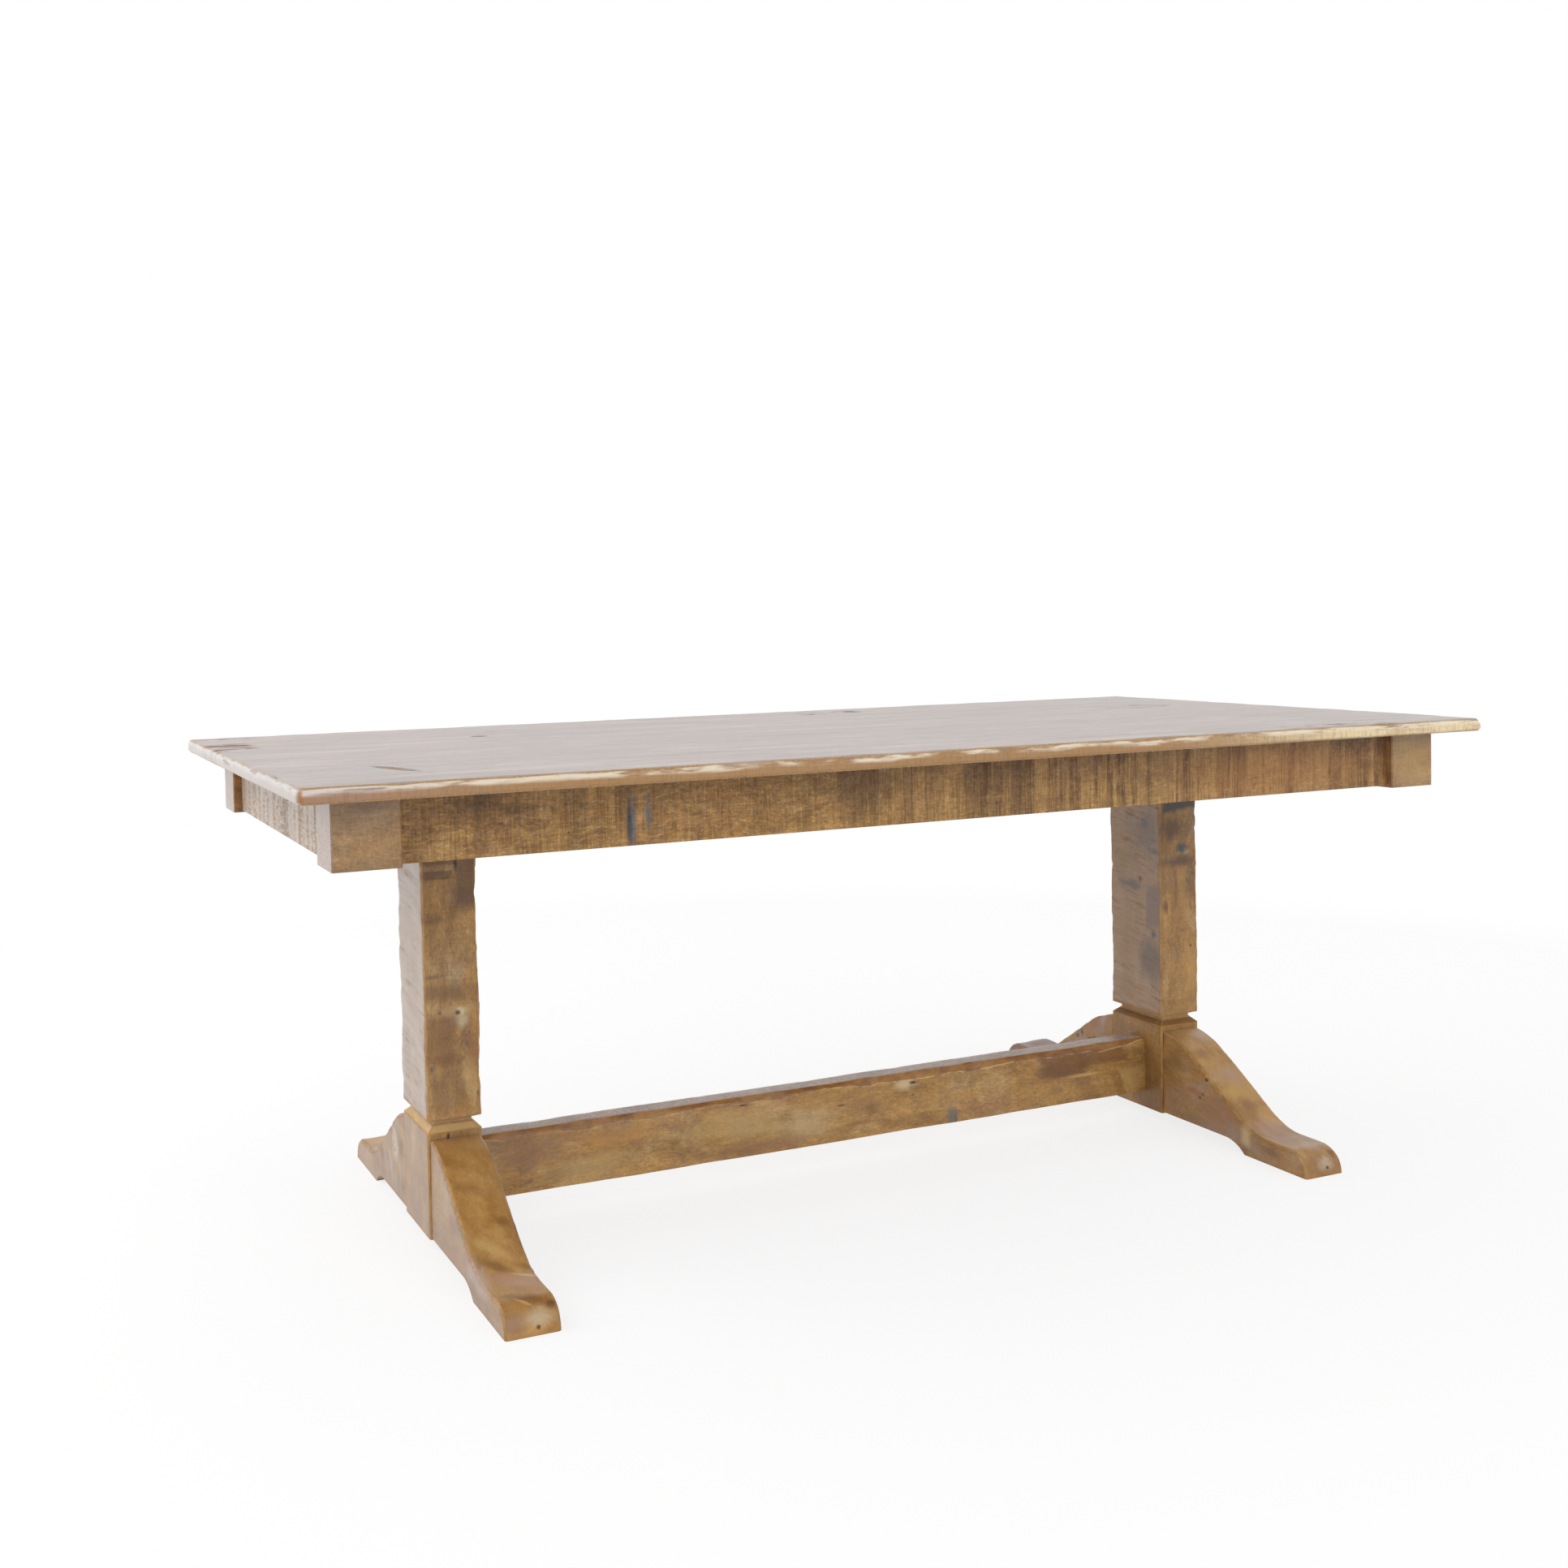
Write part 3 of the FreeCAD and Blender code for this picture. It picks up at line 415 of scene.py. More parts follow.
class Wood:
    """A stained wood in the making: the colour, lacquer and relief so far."""

    def __init__(self, name, grain, seed, light, dark, spread=(1, 1, 1)):
        self.material, self.tree = new_material(name)
        self.seed = seed
        self.place = add(self.tree, "ShaderNodeTexCoord").outputs["Object"]
        self.station, _, self.height = axes(self.place)
        self.along = self.turned(GRAIN_TURNS[grain])
        self.grain = use(GRAIN, {"Vector": self.along, "Seed": seed})
        self.stain = use(STAIN, {"Vector": drawn(self.along, spread), "Seed": seed})
        self.colour = mixed(self.grain["Figure"], dark, light)
        self.relief = self.grain["Fibre"]
        self.lacquer = None
        self.edges = {}

    def turned(self, angles):
        return link("ShaderNodeMapping", {"Vector": self.place, "Rotation": angles}).outputs[0]

    def attribute(self, name):
        return add(self.tree, "ShaderNodeAttribute", attribute_name=name).outputs["Fac"]

    def tint(self, mask, share, colour):
        self.colour = mixed(times(mask, share), self.colour, colour)

    def bared(self, mask, share, colour):
        """A tint where the lacquer is gone."""
        self.tint(mask, share, colour)
        self.lacquer = times(self.lacquer, scaled(mask, -share, 1.0))

    def stained(self, **tones):
        """Clouds of stain, each named by its kind and given as a share and a tone."""
        for kind, (share, colour) in tones.items():
            self.tint(self.stain[kind.capitalize()], share, colour)

    def mottled(self, swing, grit):
        """Lighter and darker by up to half the swing, and finer by half the grit."""
        value = scaled(self.stain["Mottle"], swing, 1 - swing / 2 - grit / 2)
        value = scaled(step(self.grain["Grit"], 0.25, 0.75), grit, value)
        self.colour = link("ShaderNodeHueSaturation", {"Value": value, "Color": self.colour}).outputs[0]

    def fibrous(self, share, across):
        """Dark fibres and pores along the grain, and flecks across it."""
        self.tint(step(self.grain["Fibre"], 0.48, 0.66), share, UMBER)
        self.tint(step(self.grain["Fleck"], 0.5, 0.68), across, UMBER)
        self.tint(self.grain["Pores"], share, PITCH)

    def sawn(self, angles, lines, bands, deep):
        """Saw marks, in colour and in relief."""
        marks = use(SAW, {"Vector": self.turned(angles), "Seed": self.seed})
        self.tint(marks["Bands"], bands, UMBER)
        self.tint(marks["Lines"], lines, UMBER)
        self.relief = scaled(marks["Lines"], -deep, self.relief)
        return marks

    def edge(self, kind):
        """Noise about 0 that makes the edge of a spot ragged."""
        if kind not in self.edges:
            scale, swing, stretch = SPOT_EDGES[kind]
            ragged = cloud(drawn(self.along, stretch), scale, 7, 0.7, self.seed)
            self.edges[kind] = scaled(ragged, swing, -swing / 2)
        return self.edges[kind]

    def spot(self, centre, half, edge, turn=None):
        """A spot given by its centre and its half sizes, and turned by angles in degrees."""
        centre = Vector(centre) * MM
        place = self.place
        if turn:
            angles = [math.radians(angle) for angle in turn]
            place = self.turned(angles)
            centre.rotate(Euler(angles))
        return use(SPOT, {"Vector": place, "Centre": centre, "Half": Vector(half) * MM,
                          "Edge": self.edge(edge)})

    def mark(self, colour, share, centre, half, kind="cloud", turn=None):
        """A tint in a spot. A knot is sunk too, and rings of grain are broken."""
        edge, part = MARK_KINDS[kind]
        mask = self.spot(centre, half, edge, turn)[part]
        if part == "Rings":
            mask = times(mask, self.stain["Mottle"])
        self.tint(mask, share, colour)
        if kind == "knot":
            self.relief = scaled(mask, -KNOT_DEPTH, self.relief)

    def marked(self, marks, axis=None, level=0, deep=0):
        """A table of marks, in order. Marks on a face leave out its axis, and share its level and a depth."""
        for colour, share, centre, half, *more in marks:
            if axis is not None:
                centre = (*centre[:axis], level, *centre[axis:])
                half = (*half[:axis], deep, *half[axis:])
            self.mark(colour, share, centre, half, *more)

    def worn(self, width, line, band, line_tone, band_tone):
        wear = use(ARRIS, {"Vector": self.along, "Width": width, "Seed": self.seed})
        self.tint(wear["Band"], band, band_tone)
        self.tint(wear["Line"], line, line_tone)
        if self.lacquer:
            self.lacquer = times(self.lacquer, scaled(wear["Band"], -0.7, 1.0))

    def done(self, rough, coat_rough, bump, sheen):
        """The material. The bump is in millimetres."""
        normal = link("ShaderNodeBump", {"Height": self.relief, "Distance": bump * MM, "Strength": 0.7})
        shader = link("ShaderNodeBsdfPrincipled", {
            "Base Color": self.colour, "Roughness": scaled(self.grain["Fibre"], 0.2, rough - 0.1),
            "Normal": normal.outputs[0], "Specular IOR Level": 0.1, "Coat Weight": self.lacquer,
            "Coat Roughness": coat_rough, "Sheen Weight": sheen, "Sheen Roughness": 0.3})
        link("ShaderNodeOutputMaterial", {"Surface": shader.outputs[0]})
        return self.material


# Marks on the top: splits by tone, centre, half sizes and lean, strokes by a share and a threshold too
TOP_LEVEL, TOP_MARK_DEPTH = 762, 30
SPLIT_LIPS = (74, 50, 34)
TOP_SPLITS = (((146, 106, 54), (-828, -296), (11, 64), -18), ((120, 98, 84), (-553, 229), (15, 16), 0))
TOP_STROKES = (
    ((106, 64, 48), 0.95, (-964, 250), (42, 92), 0.44), ((84, 82, 84), 0.95, (-940, 462), (66, 28), 0.49),
    (UMBER, 0.9, (215, 402), (80, 40), 0.49), (SLATE, 0.6, (-479, 342), (40, 26), 0.49),
    (SLATE, 0.7, (700, -470), (120, 40), 0.49), (SLATE, 0.6, (780, 167), (90, 60), 0.49))


def top_finish(name, seed, low, high):
    """Rosy brown boards, with the lacquer worn along the rim to bare wood and grey, under a painted cream
    highlight on its upper round and a painted grey reflection on its ends.
    """
    wood = Wood(name, "x", seed, (167, 150, 142), (143, 126, 118), spread=(0.4, 0.9, 1))
    wood.stained(dark=(0.4, (117, 98, 92)), rose=(0.4, (170, 139, 129)), grey=(0.4, (136, 136, 142)),
                 pale=(0.32, (198, 188, 182)))
    wood.tint(wood.grain["Rings"], 0.16, (118, 94, 84))
    wood.mottled(0.3, 0.24)
    wood.fibrous(0.34, 0.1)
    wood.lacquer = scaled(wood.stain["Mottle"], -0.12, 0.84)
    mark_top(wood, low.y / MM, high.y / MM)
    rim_finish(wood)
    return wood.done(rough=0.5, coat_rough=0.28, bump=0.4, sheen=0.0)


def mark_top(wood, low, high):
    """Open splits with dark lips, and short scratches along the boards, if they touch this board."""

    def spot(centre, half, *edge):
        if low - half[1] < centre[1] < high + half[1]:
            return wood.spot((*centre, TOP_LEVEL), (*half, TOP_MARK_DEPTH), *edge)

    for colour, centre, half, lean in TOP_SPLITS:
        opening = spot(centre, half, "fine", (0, 0, lean))
        if opening:
            wood.bared(opening["Cloud"], 0.95, colour)
            wood.tint(opening["Rim"], 0.9, SPLIT_LIPS)
            wood.relief = scaled(opening["Cloud"], -1.0, wood.relief)
    for colour, share, centre, half, start in TOP_STROKES:
        scuff = spot(centre, half, "plain")
        if scuff:
            scratch = cloud(drawn(wood.place, (0.35, 1, 1)), 55, 4, 0.65, 3.7)
            wood.bared(times(scuff["Patch"], step(scratch, start, start + 0.13)), share, colour)


def rim_finish(wood):
    """The rim from the top down: a golden line, cream and grey lenses, and a bare tan face. The cream lenses
    are a painted highlight on the worn upper round, the grey of the end faces is painted reflection, and the
    grey lenses are wear.
    """
    place, seed = wood.place, wood.seed
    inset, side, corner = (wood.attribute(name) for name in RIM_LAYERS)
    end = rest(side)
    rim = rest(step(inset, 1.6 * MM, 4.5 * MM))
    long = drawn(place, (0.13, 0.13, 1))
    wave = cloud(long, 60, 5, 0.6, seed + 5)
    left = step(times(wood.station, -1.0), 0.7, 0.97)
    tan = mixed(left, (168, 131, 88), (166, 131, 105))
    tan = mixed(step(wood.station, 0.3, 0.8), tan, (232, 213, 172))
    # Painted reflection: grey over the rim on the end faces, while the long sides take a bare tan
    wood.tint(rim, 0.94, mixed(side, (184, 176, 170), tan))
    streak = cloud(drawn(place, (1, 1, 0.14)), 320, 3, 0.7, seed)
    face = times(rim, scaled(side, 0.75, 0.25))
    wood.tint(times(face, step(streak, 0.46, 0.62)), 0.35, (136, 100, 74))
    wood.tint(times(face, step(wave, 0.46, 0.6)), 0.35, (166, 122, 90))
    fade = scaled(wave, 18 * MM, -9 * MM)
    upper = step(maths("ADD", wood.height, fade), 749 * MM, 756 * MM)
    upper = times(upper, rim)
    lens = cloud(long, 85, 4, 0.6, seed + 11)
    # Painted highlight: cream lenses on the worn upper round, and pale grey painted reflection on the ends
    pale = step(scaled(left, 0.14, lens), 0.4, 0.56)
    cream = mixed(left, (230, 218, 196), (220, 208, 200))
    wood.tint(times(upper, pale), 0.9, mixed(side, (198, 192, 188), cream))
    grey = cloud(drawn(place, (0.09, 0.09, 1)), 90, 4, 0.62, seed + 17)
    wood.tint(times(upper, step(grey, 0.56, 0.64)), 0.85, (126, 120, 116))
    speck = cloud(drawn(place, (1, 0.3, 1)), 210, 4, 0.7, seed + 23)
    speck = times(step(speck, 0.54, 0.64), end)
    wood.tint(times(upper, speck), 0.6, (146, 134, 112))
    line = rest(step(inset, 5.5 * MM, 8.5 * MM))
    line = times(step(inset, 1.4 * MM, 2.6 * MM), line)
    notches = times(end, step(lens, 0.47, 0.54))
    line = times(line, maths("MAXIMUM", notches, times(side, step(wave, 0.3, 0.5))))
    wood.tint(line, 0.85, mixed(step(streak, 0.4, 0.6), (184, 136, 68), (132, 106, 70)))
    wood.tint(times(rim, corner), 0.85, (166, 112, 58))
    worn = times(rim, scaled(side, 0.5, 0.1))
    wood.lacquer = maths("SUBTRACT", wood.lacquer, worn, clamp=True)


def apron_finish(name, grain, seed, broken):
    """Rough-sawn golden brown with upright saw marks over feathery grain, and lacquer that they break."""
    wood = Wood(name, grain, seed, (182, 138, 76), (140, 100, 52))
    place = wood.place
    wood.stained(warm=(0.4, (186, 132, 66)), dark=(0.4, (108, 76, 40)), rose=(0.5, (154, 108, 66)),
                 pale=(0.4, (204, 164, 104)))
    wood.tint(wood.grain["Feather"], 0.4, (214, 178, 114))
    wood.tint(wood.grain["Rings"], 0.2, (212, 174, 114))
    marks = wood.sawn(GRAIN_TURNS[grain], lines=0.46, bands=0.28, deep=1.2)
    # Painted shade: the apron darkens towards its top, under the tabletop, and the deeper saw strips and the
    # shade below follow it
    shade_under_top = step(wood.height, 650 * MM, 745 * MM)
    strip = times(step(marks["Strips"], 0.5, 0.6), scaled(shade_under_top, 0.8, 0.2))
    wood.tint(strip, 0.38, (88, 60, 36))
    wood.tint(shade_under_top, 0.15, (98, 72, 46))
    right = step(wood.station, -0.4, 0.3)
    crisp = step(marks["Bands"], 0.2, 0.8)
    shade = times(shade_under_top, scaled(wood.stain["Dark"], 0.6, 0.4))
    for mask, share, colour in (
            (crisp, 0.16, (92, 64, 38)), (step(marks["Lines"], 0.3, 0.7), 0.5, (80, 52, 30)),
            (wood.grain["Rings"], 0.3, (104, 70, 40)), (rest(crisp), 0.3, (208, 164, 104)),
            (shade, 0.5, (78, 50, 28))):
        wood.tint(times(right, mask), share, colour)
    smooth = wood.colour
    wood.mottled(0.36, 0.6)
    wood.colour = mixed(times(right, 0.5), wood.colour, smooth)
    wood.fibrous(0.3, 0.26)
    speck = cloud(drawn(place, (1, 0.6, 0.5)), 240, 5, 0.74, seed)
    bare = maths("MAXIMUM", step(marks["Lines"], 0.4, 0.95), step(speck, 0.46, 0.56))
    wood.lacquer = maths("SUBTRACT", 0.8, times(bare, broken))
    if grain == "y":
        upright = cloud(drawn(place, (1, 1, 0.04)), 36, 4, 0.66, seed)
        salt = cloud(drawn(place, (1, 0.4, 1)), 220, 4, 0.7, seed)
        light = maths("ADD", upright, scaled(salt, 0.9, -0.45))
        wood.tint(step(light, 0.44, 0.6), 0.16, (202, 184, 162))
        wood.tint(step(light, 0.48, 0.36), 0.3, (112, 80, 52))
        wood.lacquer = rest(times(step(light, 0.54, 0.4), broken))
    return wood


def block_finish(name, seed):
    """Smooth tan, with painted shade: greyer under the tabletop and dark orange-brown on the inner faces
    beside the aprons; and a painted lilac-grey sheen on the end faces.
    """
    wood = Wood(name, "x", seed, (172, 138, 96), (150, 118, 80))
    wood.stained(dark=(0.3, (124, 94, 62)), warm=(0.35, GOLD), pale=(0.25, STRAW))
    wood.sawn(GRAIN_TURNS["x"], lines=0.12, bands=0.1, deep=0.5)
    # Painted shade: greyer towards the top, under the tabletop
    wood.tint(step(wood.height, 665 * MM, 735 * MM), 0.4, (132, 112, 94))
    cheek, inner = wood.attribute("cheek"), wood.attribute("inner")
    # Painted sheen: lilac-grey on the end faces, for the pale reflection they show at a glancing view
    wood.tint(cheek, 0.5, (168, 152, 150))
    ripple = cloud(drawn(wood.place, (1, 0.2, 1)), 240, 5, 0.7, seed)
    wood.tint(times(cheek, step(ripple, 0.46, 0.6)), 0.6, (140, 116, 98))
    # Painted shade: dark orange-brown on the inner faces, in the recess beside the aprons
    wood.tint(inner, 0.75, mixed(wood.stain["Mottle"], (92, 48, 22), (176, 118, 50)))
    wood.mottled(0.34, 0.5)
    wood.fibrous(0.25, 0.2)
    wood.worn(1.2 * MM, 0.4, 0.1, (112, 84, 56), AMBER)
    wood.lacquer = 0.85
    return wood


def trestle_finish(name, grain, seed, saw_angles=None):
    """Mottled honey-stained timber."""
    wood = Wood(name, grain, seed, HONEY, TAN)
    wood.stained(warm=(0.5, (180, 132, 70)), rose=(0.5, (156, 116, 88)), pale=(0.5, (206, 176, 124)),
                 dark=(0.42, (114, 84, 54)), grey=(0.3, (134, 122, 112)))
    wood.tint(wood.grain["Feather"], 0.14, STRAW)
    wood.tint(wood.grain["Rings"], 0.1, UMBER)
    if saw_angles:
        wood.sawn(saw_angles, lines=0.12, bands=0.16, deep=0.7)
    wood.mottled(0.3, 0.5)
    wood.fibrous(0.2, 0.12)
    wood.lacquer = scaled(wood.stain["Mottle"], -0.15, 0.68)
    return wood


def trestle_done(wood, band=None):
    """The finished timber. With a band, that share of wear lies along its arrises."""
    if band:
        wood.worn(1.2 * MM, 0.3, band, STRAW, (166, 114, 56))
    return wood.done(rough=0.5, coat_rough=0.32, bump=0.6, sheen=0.35)


def bare_finish(name, grain, seed, light, dark):
    """Planed wood without stain or lacquer, for the pieces under the top."""
    wood = Wood(name, grain, seed, light, dark)
    wood.stained(dark=(0.25, TAN), warm=(0.2, GOLD))
    wood.sawn(GRAIN_TURNS[grain], lines=0.15, bands=0.15, deep=0.6)
    wood.mottled(0.2, 0.16)
    wood.fibrous(0.25, 0.2)
    wood.lacquer = 0.0
    return wood.done(rough=0.7, coat_rough=0.5, bump=0.5, sheen=0.0)


def zinc_finish():
    """Zinc plate with a dull, uneven sheen."""
    material, tree = new_material("zinc_steel")
    spangle = cloud(add(tree, "ShaderNodeTexCoord").outputs["Object"], 320, 4, 0.6)
    colour = mixed(spangle, (150, 152, 150), (205, 206, 200))
    rough = scaled(spangle, 0.3, 0.2)
    shader = link("ShaderNodeBsdfPrincipled", {"Base Color": colour, "Roughness": rough, "Metallic": 1.0})
    link("ShaderNodeOutputMaterial", {"Surface": shader.outputs[0]})
    return material


# Pieces


def plan_inset(place):
    """How far inside the top's rounded outline a place is."""
    short = [CORNER_RADIUS - (edge - abs(value)) for edge, value in zip(TOP_CORNER.xy, place.xy)]
    return CORNER_RADIUS - (math.hypot(*short) if min(short) > 0 else max(short))


def wear_board(shape):
    """Stores where the rim, its long sides and its corners are, sags the board and wears its rim."""
    layer, side, corner = (shape.verts.layers.float[name] for name in RIM_LAYERS)
    for vert in shape.verts:
        place = vert.co.copy()
        inset = plan_inset(place)
        end_gap, side_gap = TOP_CORNER.x - abs(place.x), TOP_CORNER.y - abs(place.y)
        vert[layer] = inset
        vert[side] = float(side_gap < end_gap)
        vert[corner] = 1 - ease(math.hypot(end_gap - 2 * MM, side_gap - 2 * MM), 2 * MM, 7 * MM)
        upper = ease(place.z, TOP_CORNER.z - 12 * MM, TOP_CORNER.z - 6 * MM)
        sag = (swell(place, 0.22, 3.1) * 0.5 + 0.5) * 0.8 * MM * upper
        wear = max(0, swell(place, 0.07, 8.4) + 0.2) * 2.6 * MM
        wear *= 1 - ease(inset, 3 * MM, 13 * MM)
        outward = Vector((*(math.copysign(gap < 8 * MM, value)
                            for gap, value in zip((end_gap, side_gap), place.xy)), 0))
        vert.co.z -= sag + wear * upper
        vert.co -= outward * wear * (0.35 + 0.65 * upper)


def make_top():
    """The boards: gently uneven above, with a wavy, worn rim."""
    near_rim = [step * MM for step in (1.2, 2.6, 4.2, 6, 8, 11, 15)]
    for index in range(BOARD_COUNT):
        node = f"top_board_{index + 1}"
        shape, _ = carved(node, (12, 10.4, 5.5), RIM_LAYERS)
        cut_across(shape, 0, [side * (TOP_CORNER.x - step) for side in (-1, 1) for step in near_rim])
        low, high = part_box(node)
        if low.y < -TOP_CORNER.y + MM:
            cut_across(shape, 1, [low.y + step for step in near_rim])
        if high.y > TOP_CORNER.y - MM:
            cut_across(shape, 1, [high.y - step for step in near_rim])
        wear_board(shape)
        finished(node, shape, top_finish(f"top_wood_{index + 1}", 2.7 + index * 1.9, low, high))


def faces_side(normal):
    return abs(normal.x) > 0.7


def inside(node, margin):
    """A share that is 1 well inside a node's box and 0 within the margin of its top and bottom."""
    low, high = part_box(node)
    return lambda place: ease(min(place.z - low.z, high.z - place.z), margin * 0.3, margin)


# Marks are given by tone, share, centre, half sizes, and perhaps a kind and a turn in degrees

# Front apron: grey-blue bleeding, dark patches under the top, arches of grain, and nicks
APRON_FACE = -423
APRON_MARKS = (
    ((84, 60, 36), 0.7, (-764, 722), (62, 26)), ((84, 60, 36), 0.6, (-700, 712), (24, 18)),
    (STEEL, 0.85, (-531, 678), (8, 48), "bleed"), ((56, 58, 62), 0.9, (-535, 680), (4.5, 40), "bleed"),
    (STEEL, 0.75, (-507, 690), (6.5, 34), "bleed"),
    ((100, 72, 42), 0.5, (-150, 712), (90, 30)), ((172, 116, 66), 0.45, (640, 690), (260, 60)),
    ((92, 62, 38), 0.6, (579, 656), (66, 44), "arch"), ((92, 62, 38), 0.4, (725, 652), (58, 34), "arch"))
APRON_NICKS = ((PITCH, 0.95, (-624, 673), (2, 2), "knot"), (PITCH, 0.95, (156, 649), (4, 1.5), "knot"))


def make_aprons():
    for index, side in enumerate(("front", "right", "rear", "left")):
        node = f"{side}_apron"
        grain = "xy"[index % 2]
        shape, _ = carved(node, {"x": (9, 6, 8), "y": (6, 9, 8)}[grain])
        hew(shape, 0.5 * MM, 0.05, 1.3 + index, keep=inside(node, 12 * MM))
        broken, sheen = {"x": (0.6, 0.6), "y": (0.9, 1.0)}[grain]
        finish = apron_finish(f"apron_wood_{side}", grain, 5.1 + index * 2.3, broken)
        if side == "front":
            finish.marked(APRON_MARKS, 1, APRON_FACE, 30)
            finish.marked(APRON_NICKS, 1, APRON_FACE, 20)
        finished(node, shape, finish.done(rough=0.55, coat_rough=0.32, bump=0.8, sheen=sheen))


BLOCK_MARKS = {"front_left": [((116, 92, 70), 0.6, (-900, -437, 726), (40, 30, 10))],
               "front_right": [((182, 146, 84), 0.5, (900, -437, 690), (60, 40, 60))]}


def make_blocks():
    for index, corner in enumerate(("front_left", "front_right", "rear_right", "rear_left")):
        node = f"corner_block_{corner}"
        low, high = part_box(node)
        outward = low + high

        def inner(normal):
            return any(normal[axis] * outward[axis] < -0.3 * abs(outward[axis]) for axis in (0, 1))

        shape, verts = carved(node, (6, 6, 6), inner=inner, cheek=faces_side)
        hew(shape, 0.3 * MM, 0.06, 4.4 + index, keep=inside(node, 10 * MM))
        finish = block_finish(f"block_wood_{corner}", 7.7 + index * 1.4)
        finish.marked(BLOCK_MARKS.get(corner, ()))
        material = finish.done(rough=0.5, coat_rough=0.32, bump=0.4, sheen=0.6)
        finished(node, shape, material, verts)


POST_FACE, POST_INNER, POST_MARK_DEPTH = -73, 653, 8

# Left post: dark bands at the head, two knots, and brown and rusty clouds between them
LEFT_POST_FRONT = (
    ((96, 68, 44), 0.7, (-716, 602), (36, 12), "patch"), ((92, 66, 46), 0.65, (-718, 575), (30, 7), "patch"),
    ((94, 70, 54), 0.7, (-667, 566), (22, 50), "patch"), ((104, 78, 60), 0.5, (-674, 530), (26, 30)),
    (PITCH, 0.95, (-685, 592), (3, 14), "knot"), ((104, 76, 50), 0.6, (-722, 508), (28, 10)),
    ((112, 90, 72), 0.7, (-725, 420), (22, 6)), ((114, 84, 54), 0.6, (-704, 396), (44, 18)),
    ((190, 160, 112), 0.6, (-690, 366), (38, 11)), ((206, 190, 158), 0.6, (-681, 350), (15, 14)),
    ((214, 198, 164), 0.7, (-682, 364), (9, 8)),
    ((120, 86, 54), 0.55, (-714, 322), (26, 38), "patch", (0, -7, 0)),
    ((122, 88, 56), 0.45, (-704, 240), (30, 36), "patch", (0, 12, 0)),
    ((124, 84, 50), 0.6, (-720, 290), (34, 12)), ((174, 112, 62), 0.6, (-660, 336), (7, 26)),
    ((150, 98, 56), 0.7, (-664, 296), (10, 26)), ((194, 158, 98), 0.4, (-668, 262), (14, 40)),
    (PITCH, 0.95, (-687, 362), (5, 5), "knot"), (UMBER, 0.7, (-715, 364), (4, 3.5), "knot"),
    ((86, 78, 70), 0.8, (-730, 279), (4, 7), "knot"), ((92, 84, 78), 0.95, (-658, 234), (2.4, 8), "knot"),
    (PITCH, 0.95, (-707, 172), (2.6, 8), "knot"))

# Right post: a blue-grey head and knot on the front, and grey clouds and knots on the inner face
RIGHT_POST_FRONT = (
    ((66, 65, 64), 0.9, (698, 606), (50, 30), "patch", (0, 5, 0)), ((94, 70, 54), 0.85, (686, 552), (46, 34)),
    ((88, 74, 66), 0.8, (694, 486), (40, 14)), ((184, 164, 132), 0.6, (712, 504), (12, 6)),
    ((74, 78, 82), 0.95, (703, 511), (18, 14), "knot"), ((96, 68, 54), 0.75, (666, 402), (8, 16)),
    ((184, 142, 82), 0.3, (704, 432), (9, 44), "patch"), ((108, 76, 46), 0.4, (690, 440), (4, 40), "patch"),
    ((192, 148, 84), 0.5, (722, 300), (22, 70)), (PITCH, 0.95, (722, 326), (3, 4), "knot"))
RIGHT_POST_INNER = (
    ((156, 122, 84), 0.45, (24, 490), (60, 60)), ((158, 126, 88), 0.45, (30, 330), (50, 70)),
    ((156, 124, 86), 0.5, (20, 235), (60, 26)), ((120, 110, 108), 0.6, (-30, 540), (60, 60)),
    ((128, 114, 110), 0.6, (-52, 400), (22, 46), "patch"), ((106, 100, 104), 0.7, (10, 436), (40, 12)),
    ((108, 98, 94), 0.7, (-44, 300), (44, 50)), ((108, 104, 108), 0.75, (-58, 506), (16, 12)),
    ((108, 104, 108), 0.7, (-28, 556), (12, 10)), ((122, 80, 40), 0.9, (-13, 449), (9, 9)),
    ((126, 86, 46), 0.7, (24, 520), (16, 7)), ((128, 88, 48), 0.6, (8, 570), (18, 6)),
    ((84, 92, 100), 0.85, (-52, 349), (9, 9), "knot"))

# Posts: slant of the tool marks in degrees, marks on the front and inner faces, and looks; among the looks, a
# pale side tint is painted sheen and pale streaks are painted highlights
POSTS = {
    "left": (6, LEFT_POST_FRONT, (), dict(
        seed=3.3, ledge=(222, 188, 130), base=(142, 120, 106), painted_sheen=(0.36, (170, 160, 156)),
        dark=0.14, light=0.2, gloss=0.4)),
    "right": (9, RIGHT_POST_FRONT, RIGHT_POST_INNER, dict(
        seed=9.1, ledge=(118, 80, 40), base=(140, 96, 46), painted_sheen=(0.55, (184, 162, 144)),
        dark=0.42, light=0.26, gloss=0.0))}


